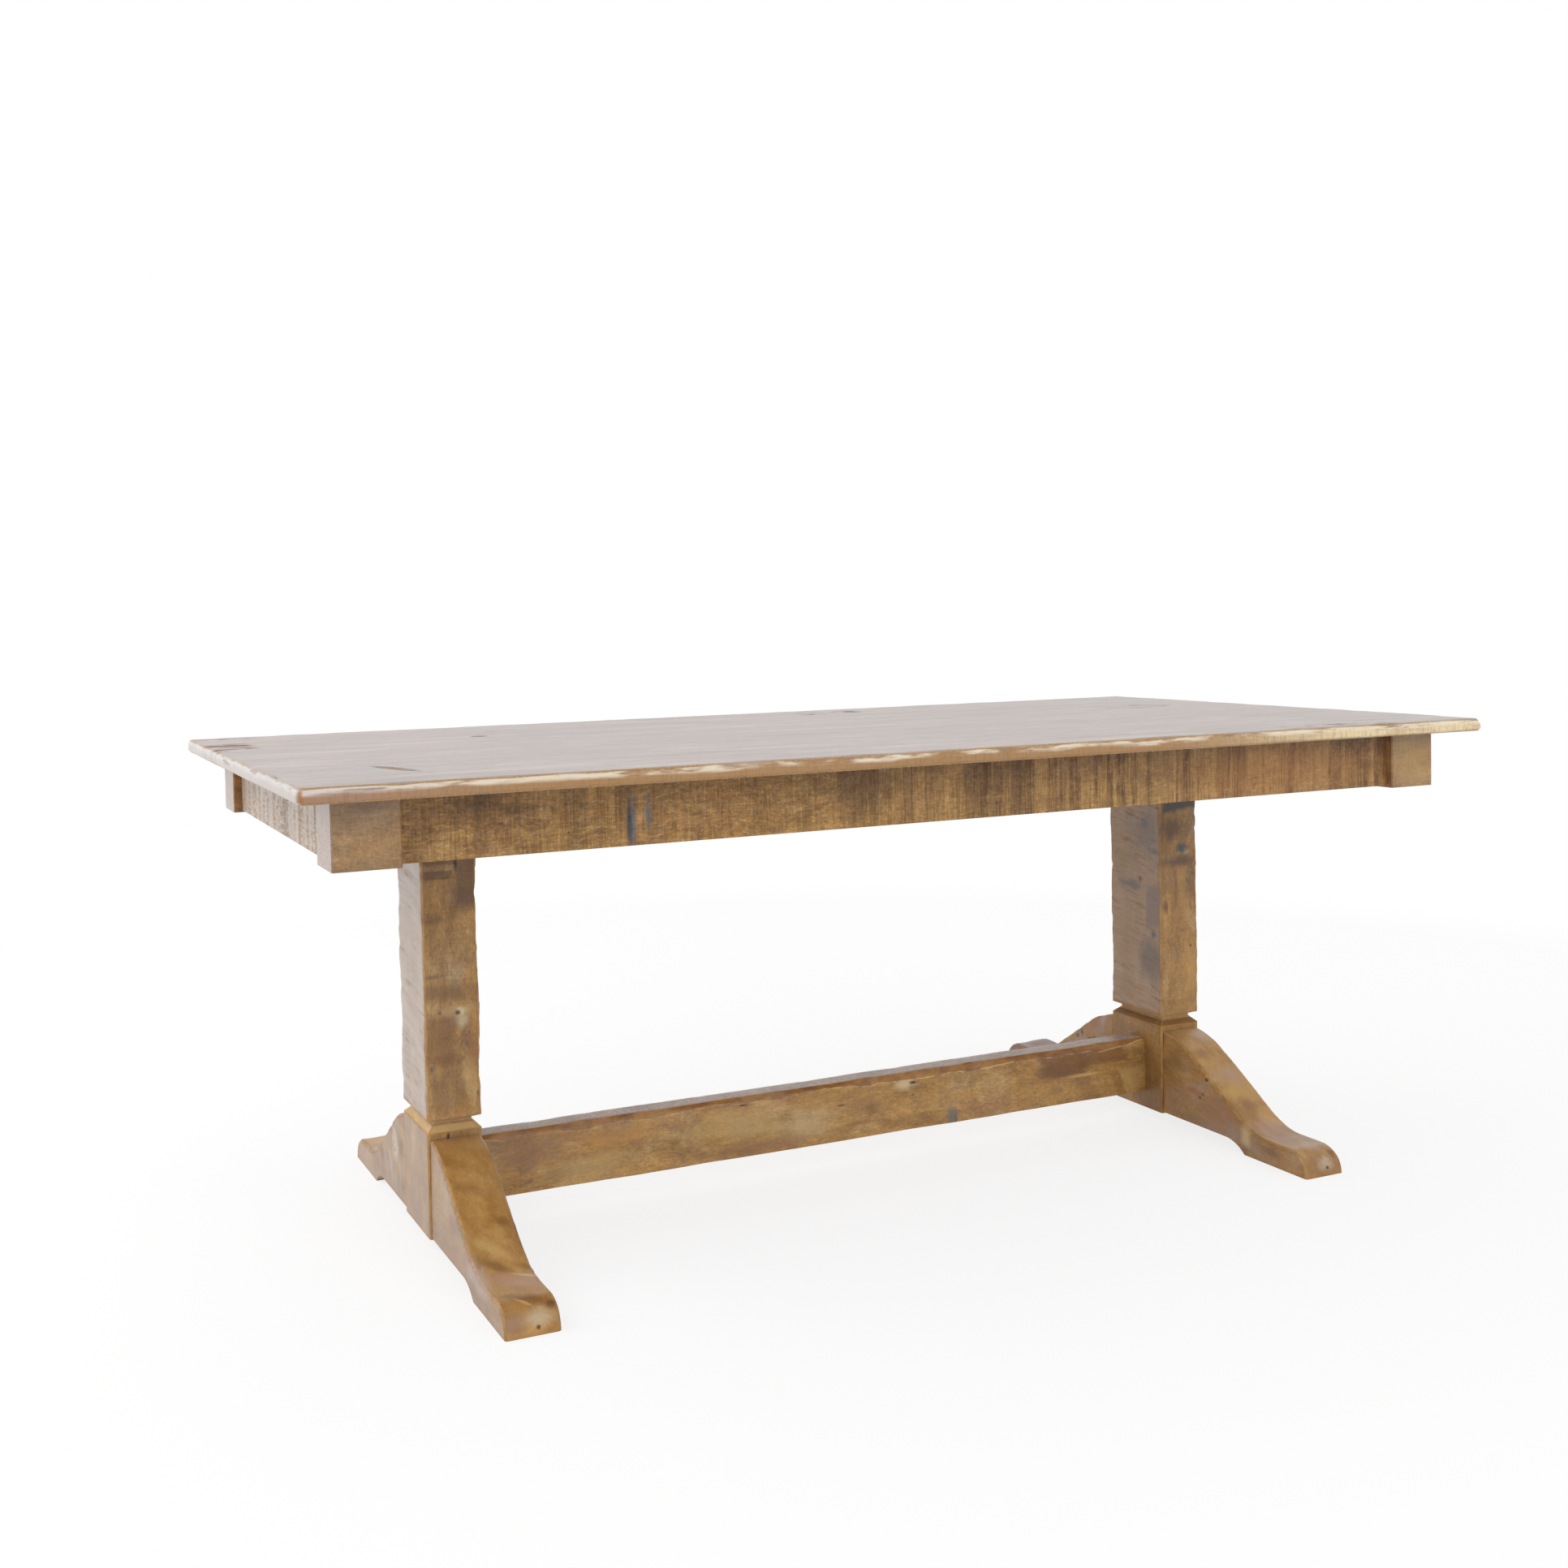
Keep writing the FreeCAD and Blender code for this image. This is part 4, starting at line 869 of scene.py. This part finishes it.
def post_finish(name, lean, seed, ledge, base, painted_sheen, dark, light, gloss):
    """The trestle's wood with scratched, glossy sides under a painted pale sheen and pale streaks of painted
    highlight, and bands round the neck: the ledge's tone, a painted highlight on the flat neck and painted
    shade on the soffit.
    """
    finish = trestle_finish(name, "z", seed, lean)
    cheek = finish.attribute("cheek")
    upright = times(cheek, step(finish.height, SHAFT_LOW, SHAFT_LOW + 10 * MM))
    finish.tint(cheek, 0.35, base)
    # Painted sheen: a pale tint over the upright sides, for the reflection they show at a glancing view
    finish.tint(upright, *painted_sheen)
    finish.lacquer = scaled(upright, gloss, finish.lacquer, clamp=True)
    slanted = drawn(finish.turned(lean), (1, 0.08, 0.08))
    broken = step(finish.stain["Mottle"], 0.1, 0.6)

    def slants(scale, low, high, offset=0.0):
        streaks = step(cloud(slanted, scale, 5, 0.66, seed + offset), low, high)
        return times(times(upright, streaks), broken)

    scars, scratches = slants(80, 0.54, 0.7), slants(320, 0.5, 0.64)
    finish.tint(times(upright, step(finish.grain["Grit"], 0.5, 0.7)), 0.4, (128, 104, 90))
    finish.tint(scratches, dark, (112, 90, 76))
    # Pale slanting streaks: painted highlights between the scratches
    finish.tint(slants(260, 0.52, 0.66, 4.1), light, (204, 190, 180))
    finish.tint(scars, 0.6, (134, 100, 68))
    bare = maths("MAXIMUM", scars, times(scratches, 0.5))
    finish.lacquer = times(finish.lacquer, scaled(bare, -0.8, 1.0))
    # Bands round the neck, from the ledge up: the ledge's own tone, a painted highlight on the flat neck, and
    # painted shade on the soffit under the post
    for low, high, share, colour in ((180, 188.5, 0.65, ledge), (188.5, 195, 0.5, (206, 178, 142)),
                                     (195, 200, 0.7, (112, 74, 38))):
        above = step(finish.height, (low - 1) * MM, (low + 1) * MM)
        beyond = step(finish.height, (high - 0.6) * MM, (high + 0.6) * MM)
        finish.bared(maths("SUBTRACT", above, beyond), share, colour)
    return finish


def make_posts():
    for side, (slant, front, inner, looks) in POSTS.items():
        node = f"{side}_post"
        seed, lean = looks["seed"], (0, math.pi / 2, math.radians(slant))
        shape, verts = carved(node, (7, 7, 5), cheek=faces_side)

        def shaft(place, fade):
            return ease(place.z, SHAFT_LOW, SHAFT_LOW + fade * MM)

        hew(shape, 2.6 * MM, 0.13, seed, keep=lambda place: 0.05 + 0.95 * shaft(place, 100))
        adze(shape, 1.1 * MM, lean, seed, keep=lambda vert: abs(vert.normal.x) * shaft(vert.co, 40))
        nick(shape, verts, 2.0 * MM, 0.022, seed, keep=lambda place: shaft(place, 40))
        rub(shape, [vert for vert in verts if vert.co.z > SHAFT_LOW + 10 * MM], 0.05, seed + 1)
        finish = post_finish(f"trestle_wood_{side}_post", lean, **looks)
        finish.marked(front, 1, POST_FACE, POST_MARK_DEPTH)
        finish.marked(inner, 0, POST_INNER, POST_MARK_DEPTH)
        finished(node, shape, trestle_done(finish, 0.35), verts)


SLANT, STEEP = (0, 0, 30), (0, 0, 42)
FOOT_MARKS = {
    # Slanting dark, pale and rosy clouds down the slope, a pale patch with a knot on the toe, a stained flank
    "left_front": (
        ((140, 98, 48), 0.55, (-712, -140, 150), (44, 14, 26), "cloud", SLANT),
        ((186, 144, 84), 0.4, (-672, -100, 168), (36, 20, 20)),
        ((134, 94, 46), 0.45, (-700, -186, 122), (50, 12, 26), "cloud", SLANT),
        ((120, 80, 38), 0.7, (-675, -238, 88), (24, 10, 24), "cloud", SLANT),
        ((200, 166, 106), 0.6, (-699, -278, 64), (38, 10, 24), "cloud", STEEP),
        ((124, 84, 42), 0.7, (-708, -303, 50), (38, 11, 20), "cloud", STEEP),
        ((128, 88, 48), 0.6, (-664, -314, 47), (22, 10, 18), "cloud", SLANT),
        ((172, 130, 104), 0.8, (-684, -348, 42), (54, 20, 16), "cloud", SLANT),
        ((208, 182, 150), 0.6, (-671, -335, 43), (22, 4, 10), "cloud", SLANT),
        ((126, 82, 36), 0.8, (-700, -404, 40), (50, 13, 14), "cloud", SLANT),
        ((206, 168, 104), 0.7, (-701, -415, 38), (16, 3, 10), "cloud", STEEP),
        ((104, 62, 36), 0.8, (-667, -426, 33), (9, 9, 8)),
        ((150, 112, 84), 0.7, (-722, -436, 20), (22, 16, 22)),
        ((196, 178, 144), 0.6, (-686, -436, 23), (22, 18, 17)),
        (PITCH, 0.95, (-689, -441, 11), (4, 8, 4), "knot"),
        ((96, 92, 88), 0.95, (-736, -184, 108), (10, 4, 3), "knot"),
        ((166, 106, 66), 0.7, (-736, -172, 78), (10, 10, 14)),
        ((182, 166, 158), 0.6, (-736, -320, 44), (14, 60, 30)),
        ((146, 104, 72), 0.55, (-736, -404, 22), (14, 30, 10)),
        ((160, 116, 84), 0.5, (-736, -236, 40), (14, 40, 12))),
    # A swirl of grain at the shoulder, pale and dark
    "left_rear": (
        ((206, 190, 168), 0.6, (-736, 150, 100), (14, 22, 36)),
        ((86, 74, 64), 0.9, (-736, 159, 114), (14, 34, 44), "swirl"),
        ((168, 128, 98), 0.5, (-736, 360, 24), (14, 50, 26))),
    # Rosy and golden clouds down the slope, knots on the inner side, a pale instep and a pale toe
    "right_front": (
        ((190, 164, 150), 0.75, (716, -112, 168), (26, 26, 16)),
        ((126, 88, 48), 0.5, (680, -150, 140), (30, 18, 18)),
        ((178, 144, 124), 0.7, (706, -200, 112), (36, 28, 22)),
        ((196, 156, 86), 0.6, (680, -232, 94), (26, 18, 16)),
        ((138, 98, 64), 0.5, (700, -262, 78), (40, 14, 16)),
        ((184, 152, 134), 0.75, (700, -316, 56), (44, 34, 20)),
        ((148, 110, 78), 0.4, (690, -362, 46), (40, 18, 16)),
        ((186, 154, 138), 0.65, (706, -402, 42), (36, 22, 16)),
        ((192, 164, 116), 0.75, (656, -203, 112), (12, 14, 9)),
        (PITCH, 0.95, (656, -195, 109), (10, 6, 4), "knot"),
        ((70, 48, 34), 0.95, (656, -176, 73), (10, 5, 5), "knot"),
        (UMBER, 0.95, (656, -184, 80), (10, 4, 4), "knot"),
        ((160, 92, 50), 0.7, (656, -160, 82), (12, 34, 9)),
        ((122, 86, 50), 0.35, (656, -110, 120), (12, 26, 40)),
        ((204, 178, 132), 0.8, (656, -296, 36), (14, 15, 22)),
        ((116, 82, 54), 0.65, (656, -352, 24), (14, 36, 14)),
        ((136, 102, 72), 0.5, (690, -440, 22), (50, 18, 30)),
        ((196, 182, 156), 0.6, (702, -440, 24), (18, 16, 17)),
        ((112, 70, 42), 0.75, (724, -428, 34), (10, 16, 9)),
        (PITCH, 0.95, (704, -441, 13), (4, 8, 4), "knot")),
    # Dark curls and pale streaks at the shoulder, and a rosy grey toe
    "right_rear": (
        ((176, 156, 142), 0.7, (656, 108, 152), (14, 14, 26)),
        ((176, 128, 72), 0.6, (656, 160, 130), (14, 26, 12)),
        ((168, 122, 60), 0.7, (656, 206, 104), (14, 16, 14)),
        ((70, 60, 52), 0.85, (656, 190, 106), (14, 7, 6), "knot"),
        ((70, 60, 52), 0.85, (656, 176, 116), (14, 5, 9), "knot"),
        ((70, 60, 52), 0.85, (656, 150, 108), (14, 10, 4), "knot"),
        ((70, 60, 52), 0.85, (656, 134, 112), (14, 8, 5), "knot"),
        ((128, 104, 92), 0.95, (690, 392, 41), (130, 110, 70)))}
# Flank tints by side: the same wood painted with light, a greyer painted sheen on the left feet and a warmer
# painted shade on the right feet
FLANK_SHEEN_AND_SHADE_TINTS = {"left": (0.5, (134, 108, 88)), "right": (0.35, (164, 122, 72))}
FLANK_STAINS = (("Rose", 0.4, (160, 106, 74)), ("Grey", 0.4, (164, 150, 142)), ("Dark", 0.3, (108, 80, 56)))


def make_feet():
    for index, (name, marks) in enumerate(FOOT_MARKS.items()):
        node = f"{name}_foot"
        shape, verts = carved(node, (7, 8, 8), sawn=lambda normal: abs(normal.x) < 0.3 and normal.z > -0.3)
        low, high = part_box(node)
        face_y = min(abs(low.y), abs(high.y))

        def free(place):
            return ease(abs(place.y), face_y + 5 * MM, face_y + 60 * MM) * ease(place.z, 22 * MM, 40 * MM)

        hew(shape, 1.6 * MM, 0.11, 5.5 + index * 3, keep=free)
        if "rear" in name:
            hew(shape, 2.2 * MM, 0.045, 7.5 + index, keep=free)
        nick(shape, verts, 0.7 * MM, 0.05, 3.5 + index, keep=free)
        rub(shape, verts, 0.05, 2.5 + index)
        for vert in shape.verts:
            vert.co.z = max(vert.co.z, 0)
        finish = trestle_finish(f"trestle_wood_{name}_foot", "y", 4.2 + index * 2.9)
        sawn = finish.attribute("sawn")
        flanks = rest(sawn)
        finish.tint(sawn, 0.6, mixed(finish.stain["Warm"], (160, 114, 56), (198, 154, 88)))
        # Painted light on the flanks: grey sheen on the left feet, warm shade on the right feet
        finish.tint(flanks, *FLANK_SHEEN_AND_SHADE_TINTS[name.split("_")[0]])
        for kind, share, colour in FLANK_STAINS:
            finish.tint(times(flanks, finish.stain[kind]), share, colour)
        finish.marked(marks)
        finished(node, shape, trestle_done(finish, 0.14), verts)


# Stretcher: clouds and small checks along the front, and dark patches over torn grain at the right
STRETCHER_FACE, STRETCHER_MARK_DEPTH = -24, 16
STRETCHER_MARKS = (
    ((150, 112, 82), 0.6, (-560, 118), (100, 34)), ((200, 172, 120), 0.45, (-470, 72), (90, 30)),
    ((188, 136, 82), 0.5, (-420, 118), (80, 16)), ((204, 174, 116), 0.5, (-190, 104), (140, 34)),
    ((198, 178, 138), 0.5, (-56, 86), (60, 32)), ((142, 104, 76), 0.6, (-170, 62), (120, 18)),
    ((146, 108, 76), 0.5, (40, 104), (60, 22)), ((120, 86, 54), 0.6, (62, 93), (16, 12)),
    ((212, 190, 150), 0.8, (128, 130), (26, 11)), (PITCH, 0.95, (146, 131), (9, 3.5), "knot"),
    ((96, 86, 76), 0.95, (146, 109), (3.5, 3), "knot"), (PITCH, 0.95, (-186, 136), (11, 1.6), "knot"),
    ((84, 76, 68), 0.95, (3, 110), (9, 2.6), "knot"), ((104, 100, 100), 0.75, (226, 62), (14, 24)),
    (STEEL, 0.95, (233, 54), (2.6, 13), "knot"), ((112, 78, 54), 0.75, (466, 122), (58, 26), "patch"),
    ((116, 80, 54), 0.65, (556, 126), (60, 16), "patch"))
TORN_EDGE = [((208, 172, 110), 0.7, (520, 96), (50, 4))]
MEAN_FALL, FALL_SWING, LEAST_FALL = 9, 6, 3


def mark_stretcher(wood):
    wood.marked(STRETCHER_MARKS, 1, STRETCHER_FACE, STRETCHER_MARK_DEPTH)
    torn = wood.spot((556, STRETCHER_FACE, 66), (96, STRETCHER_MARK_DEPTH, 34), "broad")["Patch"]
    lean = use(SAW, {"Vector": wood.turned((0, math.radians(22), 0)), "Seed": 6.3})
    wood.tint(times(torn, lean["Bands"]), 0.35, (112, 78, 50))
    wood.tint(times(torn, step(lean["Strips"], 0.5, 0.9)), 0.4, STRAW)
    wood.marked(TORN_EDGE, 1, STRETCHER_FACE, STRETCHER_MARK_DEPTH)


def stretcher_finish():
    """The trestle's wood with a speckled lilac upper face, and a brown bevel with a pale lip."""
    finish = trestle_finish("trestle_wood_stretcher", "x", 12.4)
    mark_stretcher(finish)
    mottle = finish.stain["Mottle"]
    bevel, upper = finish.attribute("bevel"), finish.attribute("upper")
    speckled = mixed(step(finish.grain["Grit"], 0.4, 0.6), (132, 110, 100), (190, 176, 172))
    finish.tint(upper, 0.6, speckled)
    finish.tint(times(upper, finish.stain["Dark"]), 0.5, (124, 88, 70))
    brown = mixed(mottle, (112, 68, 30), (172, 118, 52))
    finish.tint(step(bevel, -1 * MM, 1.5 * MM), 0.8, brown)
    lip = times(step(bevel, -2.4 * MM, -1.2 * MM), rest(step(bevel, -0.8 * MM, 0.4 * MM)))
    lip = times(lip, step(mottle, 0.3, 0.7))
    lip = times(lip, scaled(step(finish.station, -0.2, 0.1), 0.7, 0.3))
    finish.tint(lip, 0.65, (220, 192, 140))
    return trestle_done(finish)


def make_stretcher():
    """The rail, with its upper front arris worn to an uneven bevel and small steps along its rear one."""
    node = "stretcher"
    shape, verts = carved(node, (8, 5, 5), ["bevel"], upper=lambda normal: normal.z > 0.8)
    layer = shape.verts.layers.float["bevel"]
    low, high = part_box(node)

    def free(place):
        return ease(high.x - abs(place.x), 20 * MM, 60 * MM)

    hew(shape, 1.0 * MM, 0.12, 6.6, keep=free)
    for vert in shape.verts:
        place = vert.co.copy()
        station = Vector((place.x, 0, 0))
        waver = swell(station, 0.11, 4.8) + 0.5 * swell(station, 0.035, 2.8)
        fall = max(LEAST_FALL, MEAN_FALL + FALL_SWING * waver) * MM * (0.35 + 0.65 * free(place))
        across = fall * 0.6
        slope = Vector((0, -fall, across)).normalized()
        proud = (place - Vector((place.x, low.y, high.z - fall))).dot(slope)
        vert[layer] = place.z - (high.z - fall) if place.y < low.y + across + 6 * MM else -20 * MM
        if proud > 0:
            vert.co -= slope * proud
        rear = ease(place.y, high.y - 14 * MM, high.y) * ease(place.z, high.z - 16 * MM, high.z)
        dip = (1 + noise.cell(station / 0.085)) * 0.4 * MM
        dip += max(0, swell(station, 0.05, 3.4)) * 1.8 * MM
        vert.co.z -= dip * rear * free(place)
    finished(node, shape, stretcher_finish(), verts)


def make_bearers():
    for index, side in enumerate(("left", "right")):
        node = f"{side}_bearer"
        shape, verts = carved(node, (10, 10, 10))
        hew(shape, 0.5 * MM, 0.06, 8.8 + index,
            keep=lambda place: ease(TOP_CORNER.z - place.z, 24 * MM, 30 * MM))
        rub(shape, verts, 0.05, 3.5 + index)
        finish = bare_finish(f"bearer_wood_{side}", "y", 6.1 + index, (186, 156, 116), (160, 128, 90))
        finished(node, shape, finish, verts)


def dress_fixings():
    """Screws, bolts, pegs and buttons keep their solids and get their finishes."""
    zinc = zinc_finish()
    pegs = bare_finish("dowel_wood", "x", 2.2, (214, 186, 146), (190, 158, 114))
    buttons = bare_finish("button_wood", "x", 4.9, (190, 160, 120), (164, 132, 94))
    finishes = {"bearer_pegs": pegs, "top_buttons": buttons, **dict.fromkeys((
        "bearer_screws", "button_screws", "stretcher_bolts", "stretcher_washers", "stretcher_nuts"), zinc)}
    for node, material in finishes.items():
        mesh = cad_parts[node].data
        mesh.materials.clear()
        mesh.materials.append(material)


# Studio


def seen_rays(tree):
    """1 for rays that come from the camera, pass through a surface or are mirrored, and 0 for others."""
    rays = add(tree, "ShaderNodeLightPath").outputs
    seen = maths("MAXIMUM", rays["Is Camera Ray"], rays["Is Transmission Ray"])
    return maths("MAXIMUM", seen, rays["Is Glossy Ray"])


def make_floor():
    """White paper that fades to plain white away from the table and keeps a faint shadow."""
    bpy.ops.mesh.primitive_plane_add(size=80)
    floor = bpy.context.object
    floor.name = "studio_floor"
    material, tree = new_material("studio_floor")
    reach = length(add(tree, "ShaderNodeTexCoord").outputs["Object"])
    far = maths("MAXIMUM", step(reach, 1.4, 3.2), 0.8)
    paper = add(tree, "ShaderNodeBsdfDiffuse", {"Color": (0.93, 0.93, 0.93, 1)}).outputs[0]
    white = add(tree, "ShaderNodeEmission", {"Color": (1, 1, 1, 1), "Strength": 1.0}).outputs[0]
    share = times(far, seen_rays(tree))
    mix = link("ShaderNodeMixShader", {0: share, 1: paper, 2: white}).outputs[0]
    link("ShaderNodeOutputMaterial", {"Surface": mix})
    floor.data.materials.append(material)


def light_studio():
    """A white sky, a little dimmer as a light than as seen, and two softboxes."""
    world = bpy.data.worlds.new("studio")
    world.use_nodes = True
    world.node_tree.nodes.clear()
    strength = scaled(seen_rays(world.node_tree), 0.16, 0.84)
    light = link("ShaderNodeBackground", {"Color": (1, 1, 1, 1), "Strength": strength})
    link("ShaderNodeOutputWorld", {"Surface": light.outputs[0]})
    bpy.context.scene.world = world
    target = Vector((0, 0, 0.5))
    add_softbox("left_softbox", Vector((-3.4, 1.6, 2.6)), target, side=3.0, watts=75)
    add_softbox("front_softbox", Vector((1.2, -4.2, 2.8)), target, side=2.5, watts=40)


def add_softbox(name, place, target, side, watts):
    data = bpy.data.lights.new(name, "AREA")
    data.shape = "SQUARE"
    data.size = side
    data.energy = watts
    box = bpy.data.objects.new(name, data)
    box.location = place
    box.rotation_euler = (target - place).to_track_quat("-Z", "Y").to_euler()
    bpy.context.scene.collection.objects.link(box)


def add_camera():
    """The photograph's view, as fitted to the table's corners."""
    image_side = 1932
    focal_length = 2118.21
    principal = (893.35, 840.97)
    place = Vector((-1.3936, -2.61954, 0.96945))
    yaw, pitch, roll = (math.radians(angle) for angle in (24.632, -2.408, -1.093))
    forward = Vector((math.sin(yaw) * math.cos(pitch), math.cos(yaw) * math.cos(pitch), math.sin(pitch)))
    level = Vector((math.cos(yaw), -math.sin(yaw), 0))
    lift = level.cross(forward)
    right = level * math.cos(roll) + lift * math.sin(roll)
    up = lift * math.cos(roll) - level * math.sin(roll)
    data = bpy.data.cameras.new("photo_camera")
    data.sensor_width = 36
    data.lens = focal_length / image_side * data.sensor_width
    data.shift_x = (image_side / 2 - principal[0]) / image_side
    data.shift_y = (principal[1] - image_side / 2) / image_side
    camera = bpy.data.objects.new("photo_camera", data)
    turn = Matrix((right, up, -forward)).transposed().to_4x4()
    camera.matrix_world = Matrix.Translation(place) @ turn
    bpy.context.scene.collection.objects.link(camera)
    bpy.context.scene.camera = camera


add_camera()
make_top()
make_aprons()
make_blocks()
make_posts()
make_feet()
make_stretcher()
make_bearers()
dress_fixings()
make_floor()
light_studio()
bpy.context.scene.view_settings.view_transform = "Standard"
